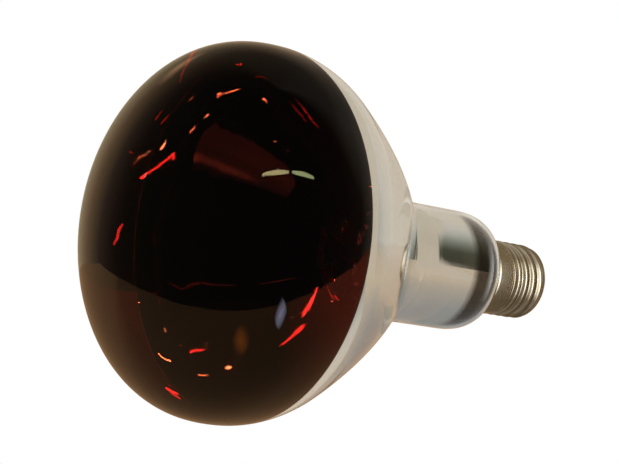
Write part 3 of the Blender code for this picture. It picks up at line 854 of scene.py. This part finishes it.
def make_wires():
    """Each side's lead, sealing wire and collar, and the two thin wires down to the cap."""
    nickel = metal("drawn_nickel", (0.70, 0.67, 0.60), (0.48, 0.45, 0.40), 700.0, 0.2, 0.42)
    copper = metal("oxidised_copper", (0.66, 0.30, 0.17), (0.33, 0.12, 0.08), 900.0, 0.3, 0.55)
    for name, side in BOTH_SIDES:
        x = side * LEAD_X
        lead = tube("nickel_lead_" + name, lead_path(side), LEAD_RADIUS)
        dress(lead, nickel, "lead_nickel", "lead_wire_" + name)
        seal_path = smooth_path([(x, 0.0, z * MM) for z in (51.1, 53.0, 54.0, 55.0, 56.9)])
        seal = tube("dumet_seal_" + name, seal_path, SEAL_WIRE_RADIUS)
        dress(seal, copper, "seal_copper", "seal_wire_" + name)
        collar = crimped_collar("crimped_collar_" + name, x)
        dress(collar, nickel, "lead_nickel", "shield_collar_" + name)

    slot_y = SEAL_RADIUS + 0.75 * MM
    points = [(LEAD_X, 0.0, z) for z in (OUTER_LEAD_TOP_Z, 38 * MM, 26 * MM)]
    points += [(3.2 * MM, 1.6 * MM, 20.6 * MM), (1.6 * MM, 8.6 * MM, 19.8 * MM)]
    points += [(0.0, 11.6 * MM, 20.3 * MM), (0.0, slot_y, 22.2 * MM), (0.0, slot_y, SHELL_RIM_Z)]
    points += [(0.0, slot_y + 0.3 * MM, SHELL_RIM_Z + 0.7 * MM)]
    points += [(0.0, SHELL_RADIUS + 0.7 * MM, SHELL_RIM_Z + 0.75 * MM)]
    side_lead = tube("side_lead", smooth_path(points), OUTER_LEAD_RADIUS, 12)
    dress(side_lead, nickel, "lead_nickel", "outer_lead_side")

    points = [(-LEAD_X, 0.0, z) for z in (OUTER_LEAD_TOP_Z, 30 * MM, 14 * MM)]
    points += [(-2.6 * MM, 0.0, 10.2 * MM), (-0.9 * MM, 0.0, 8.2 * MM)]
    points += [(0.0, 0.0, 6.4 * MM), (0.0, 0.0, 2.3 * MM)]
    centre_lead = tube("centre_lead", smooth_path(points), OUTER_LEAD_RADIUS, 12)
    dress(centre_lead, nickel, "lead_nickel", "outer_lead_centre")


def make_filament():
    """Fine wire wound close into a coil, and the coil bent to an open ring."""
    coil_r = FILAMENT_COIL_RADIUS - FILAMENT_WIRE_RADIUS
    sweep = TAU - FILAMENT_OPENING
    turns = int(FILAMENT_ARC_RADIUS * sweep / FILAMENT_PITCH)
    per_turn = 14
    upwards = Vector((0.0, 0.0, 1.0))
    path = []
    for step in range(turns * per_turn + 1):
        angle = -0.5 * math.pi + 0.5 * FILAMENT_OPENING + sweep * step / (turns * per_turn)
        out = Vector((math.cos(angle), math.sin(angle), 0.0))
        twist = TAU * step / per_turn
        offset = out * math.cos(twist) + upwards * math.sin(twist)
        path.append(out * FILAMENT_ARC_RADIUS + upwards * FILAMENT_Z + offset * coil_r)
    coil = tube("tungsten_coil", path, FILAMENT_WIRE_RADIUS, 7)
    tungsten = metal("sagged_tungsten", (0.44, 0.43, 0.42), (0.20, 0.19, 0.19), 1500.0, 0.3, 0.5)
    dress(coil, tungsten, "tungsten", "filament_coil")


def make_hooks(count=4):
    """Wires from the bead, each with an open eye round the coil."""
    molybdenum = metal("drawn_molybdenum", (0.52, 0.51, 0.5), (0.3, 0.29, 0.29), 1200.0, 0.25, 0.5)
    reach = [(3.7 * MM, BUTTON_Z), (6.5 * MM, 84.0 * MM), (9.4 * MM, 85.6 * MM)]
    start = -0.62 * math.pi
    reach += arc(FILAMENT_ARC_RADIUS, FILAMENT_Z, HOOK_EYE_RADIUS, start, start + 1.45 * math.pi, 10)
    for index in range(count):
        azimuth = math.pi * index / (count - 1)
        points = [(r * math.cos(azimuth), r * math.sin(azimuth), z) for r, z in reach]
        hook = tube("support_hook_%d" % (index + 1), smooth_path(points, 4), HOOK_RADIUS, 10)
        dress(hook, molybdenum, "hook_wire", "filament_hook_%d" % (index + 1))


def make_heat_shield():
    """A stamped mica disc, split very slightly into its sheets at the edge."""
    top_z = SHIELD_Z + SHIELD_THICKNESS
    outline = [(SHIELD_HOLE, top_z), (SHIELD_RADIUS - 0.15 * MM, top_z)]
    outline += [(SHIELD_RADIUS, top_z - 0.12 * MM), (SHIELD_RADIUS - 0.08 * MM, SHIELD_Z + 0.26 * MM)]
    outline += [(SHIELD_RADIUS, SHIELD_Z + 0.12 * MM), (SHIELD_RADIUS - 0.15 * MM, SHIELD_Z)]
    outline += [(SHIELD_HOLE, SHIELD_Z)]

    def chipped(place):
        if math.hypot(place.x, place.y) < SHIELD_RADIUS - 1.0 * MM:
            return place
        nick = max(noise.noise(place * 420.0) - 0.25, 0.0)
        return Vector((place.x * (1 - 0.02 * nick), place.y * (1 - 0.02 * nick), place.z))

    disc = turned("mica_disc", outline, 128, closed=True, move=chipped)
    dress(disc, split_mica(), "mica", "heat_shield")


make_ruby_face()
make_clear_envelope()
make_mirror_film()
make_shell()
make_cement()
make_insulator()
make_contact()
make_contact_bead()
make_side_bead()
make_flare()
make_exhaust()
make_arbor()
make_button()
make_press()
make_wires()
make_filament()
make_hooks()
make_heat_shield()


# ---------------------------------------------------------------- studio


def studio_point(right, up, towards):
    """A point given from the middle of the widest circle, along the studio's own directions."""
    return RING_CENTRE + STUDIO_TURN @ Vector((right, up, towards))


def hide_from(made, *rays):
    for ray in rays:
        setattr(made, "visible_" + ray, False)


def reflection_card(name, corners, finish, seen_by="both", faces=None):
    """A panel that only reflections show: the lamp's outer skin, the silver behind glass, or both."""
    mesh = bpy.data.meshes.new(name)
    mesh.from_pydata(corners, [], faces or [tuple(range(len(corners)))])
    mesh.materials.append(finish)
    made = placed(name, mesh)
    hide_from(made, "camera", "diffuse", "shadow")
    if seen_by == "skin":
        hide_from(made, "transmission")
    if seen_by == "silver":
        hide_from(made, "glossy")
    return made


def glow(name, colour=WHITE, strength=1.0):
    made = bpy.data.materials.new(name)
    made.use_nodes = True
    tree = made.node_tree
    tree.nodes.remove(tree.nodes["Principled BSDF"])
    emission = node(tree, "Emission", Strength=strength)
    emission.inputs["Color"].default_value = (*colour, 1.0)
    tree.links.new(emission.outputs[0], tree.nodes["Material Output"].inputs["Surface"])
    return made, tree, emission


def by_bearing(tree, bearing, stops):
    """A colour that changes with the bearing from the studio's front."""
    made = node(tree, "ValToRGB", Fac=maths(tree, "MULTIPLY_ADD", bearing, 1 / TAU, 0.5))
    elements = made.color_ramp.elements
    ends = (elements[0], elements[1])
    for element, (degrees, colour) in zip(ends, (stops[0], stops[-1])):
        element.position = (degrees + 180) / 360
        element.color = (*colour, 1.0)
    for degrees, colour in stops[1:-1]:
        elements.new((degrees + 180) / 360).color = (*colour, 1.0)
    return made.outputs["Color"]


def measured(tree, origin=RING_CENTRE):
    """Shader values for how far right, up and towards a point of a card is."""
    place = object_place(tree)
    return [reach_along(tree, place, axis, origin) for axis in (VIEW_RIGHT, VIEW_UP, VIEW_BACK)]


def front_only(tree):
    """A shader value that is 1 on a face's front and 0 on its back."""
    back = node(tree, "NewGeometry").outputs["Backfacing"]
    return maths(tree, "SUBTRACT", 1.0, back)


# Room colours by bearing from the studio's front, in degrees, as the lamp's outer skin reflects them
DARK_ROOM = [
    (-180, (0.50, 0.36, 0.22)),
    (-158, (0.46, 0.36, 0.21)),
    (-150, (0.50, 0.35, 0.20)),
    (-144, (0.43, 0.27, 0.16)),
    (-138, (0.34, 0.23, 0.11)),
    (-133, (0.26, 0.17, 0.10)),
    (-128, (0.15, 0.10, 0.07)),
    (-119, (0.08, 0.05, 0.035)),
    (-110, (0.045, 0.036, 0.022)),
    (0, (0.030, 0.028, 0.025)),
    (70, (0.035, 0.033, 0.028)),
    (84, (0.07, 0.06, 0.04)),
    (97, (0.34, 0.29, 0.21)),
    (112, (0.62, 0.56, 0.46)),
    (128, (0.55, 0.48, 0.38)),
    (160, (0.42, 0.33, 0.24)),
    (180, (0.50, 0.36, 0.22)),
]

# The same room as the silver behind the glass shows it
BRIGHT_ROOM = [
    (-180, (0.80, 0.73, 0.64)),
    (-140, (0.62, 0.50, 0.36)),
    (-115, (0.012, 0.012, 0.010)),
    (35, (0.010, 0.010, 0.008)),
    (50, (0.30, 0.27, 0.23)),
    (66, (0.64, 0.57, 0.48)),
    (79, (0.60, 0.54, 0.45)),
    (83, (0.055, 0.055, 0.040)),
    (89, (0.06, 0.068, 0.048)),
    (97, (0.20, 0.215, 0.19)),
    (108, (0.42, 0.43, 0.41)),
    (123, (0.60, 0.58, 0.54)),
    (152, (0.70, 0.64, 0.56)),
    (180, (0.80, 0.73, 0.64)),
]


def sine(degrees):
    return math.sin(math.radians(degrees))


def make_room():
    """The room that the lamp reflects, dark behind it, and white where the camera sees it."""
    world = bpy.data.worlds.new("studio_room")
    bpy.context.scene.world = world
    world.use_nodes = True
    tree = world.node_tree
    direction = node(tree, "TexCoord").outputs["Generated"]
    right = reach_along(tree, direction, VIEW_RIGHT)
    up = reach_along(tree, direction, VIEW_UP)
    bearing = maths(tree, "ARCTAN2", right, reach_along(tree, direction, VIEW_BACK))
    path = node(tree, "LightPath").outputs
    through = path["Is Transmission Ray"]

    skin_high = spread(tree, up, 1.0, 0.16, sine(18), sine(50))
    skin_room = blended(tree, skin_high, (0.03, 0.027, 0.02), by_bearing(tree, bearing, DARK_ROOM))
    silver_high = spread(tree, up, 1.0, 0.12, sine(44), sine(66))
    silver_room = by_bearing(tree, bearing, BRIGHT_ROOM)
    silver_room = blended(tree, silver_high, (0.05, 0.045, 0.035), silver_room)
    seen = blended(tree, through, skin_room, silver_room)
    straight = product(tree, through, maths(tree, "LESS_THAN", path["Glossy Depth"], 0.5))
    seen = blended(tree, straight, seen, (0.030, 0.026, 0.019))
    room = tree.nodes["Background"]
    tree.links.new(seen, room.inputs["Color"])

    white = node(tree, "Background")
    white.inputs["Color"].default_value = (*WHITE, 1.0)
    choice = node(tree, "MixShader", _0=path["Is Camera Ray"], _1=room.outputs[0])
    tree.links.new(white.outputs[0], choice.inputs[2])
    tree.links.new(choice.outputs[0], tree.nodes["World Output"].inputs["Surface"])


TABLE_DROP = 63.7 * MM


def on_table(points, lift=0.0):
    """Places on the bench top, given in millimetres right and towards."""
    return [studio_point(right * MM, lift - TABLE_DROP, towards * MM) for right, towards in points]


def apart(tree, first, second, centre=(0.0, 0.0)):
    """How far two measured values are from a centre."""
    across = maths(tree, "POWER", maths(tree, "SUBTRACT", first, centre[0]), 2.0)
    along = maths(tree, "POWER", maths(tree, "SUBTRACT", second, centre[1]), 2.0)
    return maths(tree, "SQRT", maths(tree, "ADD", across, along))


def make_bench():
    """The bench as the face reflects it: brown wood, reddened where light has come through."""
    finish, tree, emission = glow("bench_glow")
    right, _, towards = measured(tree)
    cloud = noise_value(tree, object_place(tree), 9.0, 3.0)
    front = mottled(tree, cloud, (0.24, 0.14, 0.07), (0.28, 0.16, 0.08))
    slant = maths(tree, "MULTIPLY_ADD", right, -0.4, towards)
    back = spread(tree, slant, 1.0, 0.0, 0.005, 0.035)
    wood = blended(tree, back, front, (0.41, 0.235, 0.115))
    red = spread(tree, right, 0.0, 1.0, 0.02, 0.085)
    red = product(tree, red, spread(tree, towards, 0.0, 1.0, 0.012, 0.034))
    tree.links.new(blended(tree, red, wood, (0.74, 0.15, 0.08)), emission.inputs["Color"])
    edge = [(-1150, -840), (-590, -265), (-370, -60), (-240, 36), (-116, 93), (-59, 109)]
    edge += [(-2, 119), (49, 120), (122, 108), (206, 90), (392, 48), (725, -53)]
    edge += [(725, -1500), (-1150, -1500)]
    reflection_card("bench_card", on_table(edge), finish, "skin")


def make_pale_sheet():
    """The paper the lamp lies on, as its silvered side shows it, with the lamp's soft shadow."""
    finish, tree, emission = glow("pale_sheet_glow")
    right, _, towards = measured(tree)
    warm = spread(tree, right, 0.0, 1.0, -0.02, 0.05)
    colour = blended(tree, warm, (0.46, 0.33, 0.21), (0.58, 0.50, 0.40))
    shade = spread(tree, apart(tree, right, towards, (0.075, -0.085)), 1.0, 0.0, 0.03, 0.12)
    colour = blended(tree, shade, colour, (0.31, 0.32, 0.325))
    bearing = maths(tree, "ARCTAN2", right, towards)
    turned_away = spread(tree, maths(tree, "ABSOLUTE", bearing), 0.0, 1.0, 1.65, 1.95)
    far = spread(tree, apart(tree, right, towards), 0.0, 1.0, 0.22, 0.75)
    melt = product(tree, far, turned_away)
    colour = blended(tree, melt, colour, by_bearing(tree, bearing, BRIGHT_ROOM))
    tree.links.new(colour, emission.inputs["Color"])
    outline = [(-900, -60), (0, -60), (0, -5), (100, -5), (900, 150), (900, -1500), (-900, -1500)]
    reflection_card("pale_sheet_card", on_table(outline), finish, "silver")


def shows_after(tree, emission, bounces=None, cover=1.0):
    """Show a light only where it covers, and only after so many meetings with the mirror."""
    if bounces is not None:
        depth = node(tree, "LightPath").outputs["Glossy Depth"]
        cover = maths(tree, "MULTIPLY", maths(tree, "COMPARE", depth, float(bounces), 0.5), cover)
    clear = node(tree, "BsdfTransparent").outputs[0]
    choice = node(tree, "MixShader", _0=cover, _1=clear, _2=emission.outputs[0])
    tree.links.new(choice.outputs[0], tree.nodes["Material Output"].inputs["Surface"])


def make_hot_patch():
    """Light thrown back off the bench, which the inside of the bowl picks up."""
    finish, tree, emission = glow("hot_patch_glow", (0.36, 1.7, 1.3))
    right, _, towards = measured(tree)
    hot = spread(tree, apart(tree, right, towards, (-0.0085, 0.050)), 1.0, 0.0, 0.002, 0.011)
    cloud = noise_value(tree, object_place(tree), 60.0, 3.0)
    fade = spread(tree, towards, 1.0, 0.25, 0.042, 0.066)
    base = product(tree, fade, spread(tree, cloud, 0.9, 1.6))
    tree.links.new(maths(tree, "MULTIPLY_ADD", hot, 7.0, base), emission.inputs["Strength"])
    shows_after(tree, emission, 1)
    outline = [(-4.5, 80), (-6, 60), (-4.7, 44), (-8, 27), (-11.5, 13), (-19, 7), (-24, 2)]
    outline += [(-26, 5), (-28, 14), (-29, 30), (-29, 62), (-18, 63.5), (-12.5, 66), (-8, 76)]
    reflection_card("hot_patch_card", on_table(outline, lift=0.4 * MM), finish, "silver")


FAR = 20.0


def far_point(bearing, height):
    """A far place, at a bearing and a height in degrees from the studio's front."""
    flat = math.cos(math.radians(height))
    turn = math.radians(bearing)
    return FAR * Vector((flat * math.sin(turn), sine(height), flat * math.cos(turn)))


def strip(name, path, width, strength, colour=WHITE, bounces=None):
    """A thin bent light. With a number of bounces, only the silver inside the lamp shows it."""
    last = len(path) - 1
    corners = []
    for index, place in enumerate(path):
        along = path[min(index + 1, last)] - path[max(index - 1, 0)]
        half_width = 0.5 * width * (0.45 if index in (0, last) else 1.0)
        side = along.cross(place).normalized() * half_width
        corners += [studio_point(*(place - side)), studio_point(*(place + side))]
    faces = [(k, k + 2, k + 3, k + 1) for k in range(0, 2 * last, 2)]
    finish, tree, emission = glow(name + "_glow", colour, strength)
    if bounces is not None:
        shows_after(tree, emission, bounces)
    reflection_card(name, corners, finish, "skin" if bounces is None else "silver", faces)


def make_tubes():
    """Two ceiling tubes end to end on the face, and their broken echo from inside."""
    width = FAR * math.tan(math.radians(3.0))
    left = [far_point(*place) for place in ((-30, 32.9), (-15, 35.7), (-3.2, 36.5))]
    strip("tube_left", left, width, 8.0, (1.0, 0.84, 0.40))
    right = [far_point(*place) for place in ((0.8, 36.6), (15, 35.7), (30, 32.9))]
    strip("tube_right", right, width, 7.0, (0.84, 0.92, 0.44))
    left = [(23, 32.8), (17, 34.2), (14.4, 37.0), (13.2, 34.9), (11.8, 33.0), (10, 34.6), (3.6, 35.9)]
    right = [(-3.2, 36.2), (-11.5, 34.6), (-18.8, 32.6)]
    width = FAR * math.tan(math.radians(0.9))
    for name, wave in (("left", left), ("right", right)):
        path = [far_point(*place) for place in wave]
        strip("tube_echo_" + name, path, width, 2.6, (0.42, 1.0, 1.0), bounces=1)


def soft_card(name, centre, side, over, colour, strength):
    """An oval card that fades out towards its edge. Side and over are its half axes."""
    finish, tree, emission = glow(name + "_glow", colour, strength)
    place = object_place(tree)
    spans = []
    for axis in (side, over):
        scaled = STUDIO_TURN @ axis / axis.length_squared
        spans.append(reach_along(tree, place, scaled, studio_point(*centre)))
    shows_after(tree, emission, cover=spread(tree, apart(tree, *spans), 1.0, 0.0, 0.05, 1.0))
    corners = []
    for step in range(32):
        angle = TAU * step / 32
        corners.append(studio_point(*(centre + side * math.cos(angle) + over * math.sin(angle))))
    reflection_card(name, corners, finish, "skin")


def make_smears():
    """A cool window, a warm lamp and a brown blind, which the face shows out of focus."""
    centre = Vector((17.3, -50.0, 84.0)) * MM
    side = Vector((6.0, 0.0, -1.0)) * MM
    over = Vector((-2.8, 11.5, 7.0)) * MM
    soft_card("cool_window", centre, side, over, (0.72, 0.72, 1.0), 4.6)
    centre = Vector((-9.5, -54.0, 64.3)) * MM
    side = Vector((5.5, 0.0, 3.0)) * MM
    over = Vector((-1.0, 8.6, 7.0)) * MM
    soft_card("warm_lamp", centre, side, over, (1.0, 0.28, 0.05), 1.9)
    side = Vector((-0.891, 0.0, 0.454)) * 3.4
    over = Vector((0.0, 1.9, 0.0))
    soft_card("brown_blind", far_point(-152.5, 32), side, over, (1.0, 0.56, 0.28), 1.15)


def glint(name, points, width, strength, bounces, colour=WHITE):
    """A short strip near the lamp, with its points and width in millimetres."""
    strip(name, [Vector(point) * MM for point in points], width * MM, strength, colour, bounces)


LAMPLIGHT = (0.4, 2.5, 1.2)


def make_glints():
    """Small hard lights round the lamp, which the silver inside shows through the face."""
    rise = [(-21.8, 53.8, 12.8), (-18.5, 60.3, 2.7), (-15.8, 62.4, -6.5), (-12.8, 62, -15)]
    glint("window_edge_high", rise + [(-11, 60.5, -21)], 1.7, 60.0, 1)
    fall = [(-47.5, 33, 91), (-52, 54, 80), (-55.5, 70, 70), (-54.5, 80.5, 63), (-51.5, 83, 65)]
    glint("window_edge_low", fall, 4.2, 75.0, 2)

    low = [(38, 53.6, 113.5), (24.3, 55.8, 114), (10.5, 57.6, 111.4)]
    glint("lamp_low_left", low, 1.9, 2200.0, 2, LAMPLIGHT)
    low = [(-11, 59.5, 100.6), (-16.8, 65.7, 95.4), (-20, 68.5, 92.5)]
    glint("lamp_low_right", low, 1.9, 1600.0, 2, LAMPLIGHT)
    high = [(39, -57, 112), (36.6, -59, 111.3), (34, -66, 107)]
    glint("lamp_high_left", high, 1.7, 2000.0, 2, LAMPLIGHT)
    high = [(-14, -49, 112), (-16.5, -49.1, 111.2), (-20.4, -47.2, 109.1)]
    glint("lamp_high_right", high, 1.9, 2200.0, 2, LAMPLIGHT)

    glint("crown_third", [(-12.6, -101.3, 67), (-16.8, -99, 68.7), (-21, -93, 73.5)], 3.4, 200.0, 3)
    glint("crown_second", [(-2, 61.8, -55.9), (1.2, 61.7, -55.7), (4.2, 61.5, -55.4)], 1.8, 70.0, 0)
    glint("crown_first", [(-2, 63.4, -49.3), (1.4, 63.3, -49), (4.4, 63.2, -48.5)], 1.6, 70.0, 0)
    glint("foot_first", [(28.7, 85.3, 83.9), (17.7, 80.3, 89.5), (13.8, 84.5, 85.2)], 3.6, 200.0, 3)
    glint("foot_second", [(-27, -56, -56), (-24.2, -57.7, -55), (-21.7, -58.4, -55.5)], 1.7, 120.0, 0)
    glint("foot_third", [(-25.5, -57.3, -54.4), (-23.3, -58.8, -51.8), (-21, -60, -49.6)], 1.5, 60.0, 0)

    glint("smear_high", [(-43.3, -98, 63.7), (-48.2, -101.2, 55), (-55.7, -93.5, 56)], 3.6, 12.0, 2)
    slant = [(-65.8, -94.6, 49.3), (-68.6, -89, 54), (-71.4, -85, 56), (-74, -82.3, 56)]
    glint("slant_high", slant, 2.2, 14.0, 2)
    glint("slant_low", [(-64.4, -83.6, 62.7), (-67, -79.3, 64.4), (-69.6, -76.4, 64.4)], 1.4, 8.0, 2)
    streak = [(-38, 20.4, -85.5), (-36.5, 21, -86.5), (-35, 21.6, -87), (-32.6, 23, -88.2)]
    glint("streak_left", streak, 1.5, 60.0, 0)
    glint("streak_left_tip", [(-60.7, 79.4, 70.5), (-56.3, 69.9, 78)], 2.6, 45.0, 2)
    low = [(-47.6, -4.2, -81.6), (-46.3, -1.7, -82.8), (-45.9, 1.1, -83.8), (-44.6, 3.7, -84.6)]
    glint("streak_low", low, 1.2, 30.0, 0)
    glint("tick_outer", [(-31.8, 41.4, -76), (-29.2, 44.6, -74.6)], 0.55, 18.0, 0)
    glint("tick_inner", [(-29.8, 40.1, -78.7), (-26.9, 43.3, -77.5)], 0.55, 22.0, 0)
    glint("dot_outer", [(-41.5, 30.1, -77.3), (-40.6, 29.4, -78.8)], 0.6, 22.0, 0)


def make_neck_card():
    """Keeps the dark room out of the front half of the neck, up to a soft curved edge."""
    finish, tree, emission = glow("neck_card_glow", (0.60, 0.54, 0.455))
    _, up, towards = measured(tree)
    foot, head = -21 * MM, 45 * MM
    above_foot = maths(tree, "SUBTRACT", up, foot)
    bow = product(tree, above_foot, maths(tree, "SUBTRACT", up, head))
    past = maths(tree, "MULTIPLY_ADD", above_foot, 0.318, maths(tree, "ADD", towards, 9 * MM))
    past = maths(tree, "MULTIPLY_ADD", bow, 4.81, past)
    for flare, limit, sign in ((3.8, 20 * MM, -1.0), (2.0, 60 * MM, 1.0)):
        beyond = maths(tree, "MULTIPLY", maths(tree, "SUBTRACT", up, limit), sign)
        beyond = maths(tree, "POWER", maths(tree, "MAXIMUM", beyond, 0.0), 2.0)
        past = maths(tree, "MULTIPLY_ADD", beyond, flare, past)
    shows_after(tree, emission, 1, spread(tree, past, 0.0, 1.0, -4.5 * MM, 2.5 * MM))
    outline = [(-60, -30), (-60, 120), (300, 120), (300, -450), (200, -260), (130, -140)]
    corners = [studio_point(0.19, up * MM, towards * MM) for up, towards in outline]
    reflection_card("neck_card", corners, finish, "silver")


TENT_RADIUS = 34 * MM


def make_cap_tent():
    """A tent round the front of the cap, with a cream band that the crests and collar pick up."""
    finish, tree, emission = glow("cap_tent_glow")
    place = object_place(tree)
    height = reach_along(tree, place, (0.0, 0.0, 1.0))
    up = reach_along(tree, place, (1.0 / TENT_RADIUS, 0.0, 0.0))
    cream = product(
        tree,
        spread(tree, height, 0.0, 1.0, 12 * MM, 15 * MM),
        spread(tree, height, 1.0, 0.0, 19 * MM, 26 * MM),
        spread(tree, up, 1.0, 0.10, 0.25, 0.80),
        spread(tree, up, 0.04, 1.0, -0.66, -0.10),
    )
    base = blended(tree, spread(tree, up, 0.0, 1.0, -0.9, 0.5), (0.15, 0.115, 0.07), (0.26, 0.20, 0.125))
    tree.links.new(blended(tree, cream, base, (4.3, 4.4, 4.2)), emission.inputs["Color"])
    shows_after(tree, emission, cover=front_only(tree))
    corners = []
    steps = 40
    for step in range(steps + 1):
        angle = math.radians(-120 + 240 * step / steps)
        for z in (-24 * MM, 40 * MM):
            corners.append((TENT_RADIUS * math.sin(angle), -TENT_RADIUS * math.cos(angle), z))
    faces = [(k, k + 1, k + 3, k + 2) for k in range(0, 2 * steps, 2)]
    reflection_card("cap_tent", corners, finish, "skin", faces)


def make_floor():
    """A white floor below the lamp, seen by the camera only, and only from above."""
    finish, tree, emission = glow("pale_floor")
    shows_after(tree, emission, cover=front_only(tree))
    half, z = 6.0, -0.35
    corners = [(-half, -half, z), (half, -half, z), (half, half, z), (-half, half, z)]
    mesh = bpy.data.meshes.new("floor")
    mesh.from_pydata(corners, [], [(0, 1, 2, 3)])
    mesh.materials.append(finish)
    floor = placed("floor", mesh)
    hide_from(floor, "glossy", "transmission", "diffuse", "shadow")


def make_soft_light(name, place, size, power):
    light = bpy.data.lights.new(name, "AREA")
    light.shape = "DISK"
    light.size = size
    light.energy = power
    made = placed(name, light)
    made.location = studio_point(*place)
    made.rotation_euler = (RING_CENTRE - made.location).to_track_quat("-Z", "Y").to_euler()
    hide_from(made, "glossy", "transmission", "camera")


def make_camera():
    data = bpy.data.cameras.new("camera")
    data.lens = CAMERA_LENS
    data.sensor_width = 36.0
    data.clip_start = 0.01
    camera = placed("camera", data)
    camera.matrix_world = Matrix.Translation(CAMERA_PLACE) @ STUDIO_TURN.to_4x4()
    bpy.context.scene.camera = camera


make_camera()
make_room()
make_floor()
make_bench()
make_pale_sheet()
make_hot_patch()
make_tubes()
make_smears()
make_glints()
make_neck_card()
make_cap_tent()
make_soft_light("soft_key", (-0.5, 1.1, 0.9), 1.2, 14.0)

# Enough bounces for light that crosses the glass twice and meets the film several times
scene = bpy.context.scene
scene.view_settings.view_transform = "Standard"
scene.cycles.max_bounces = 26
scene.cycles.glossy_bounces = 16
scene.cycles.transmission_bounces = 24
scene.cycles.blur_glossy = 0.0
scene.cycles.sample_clamp_indirect = 0.0
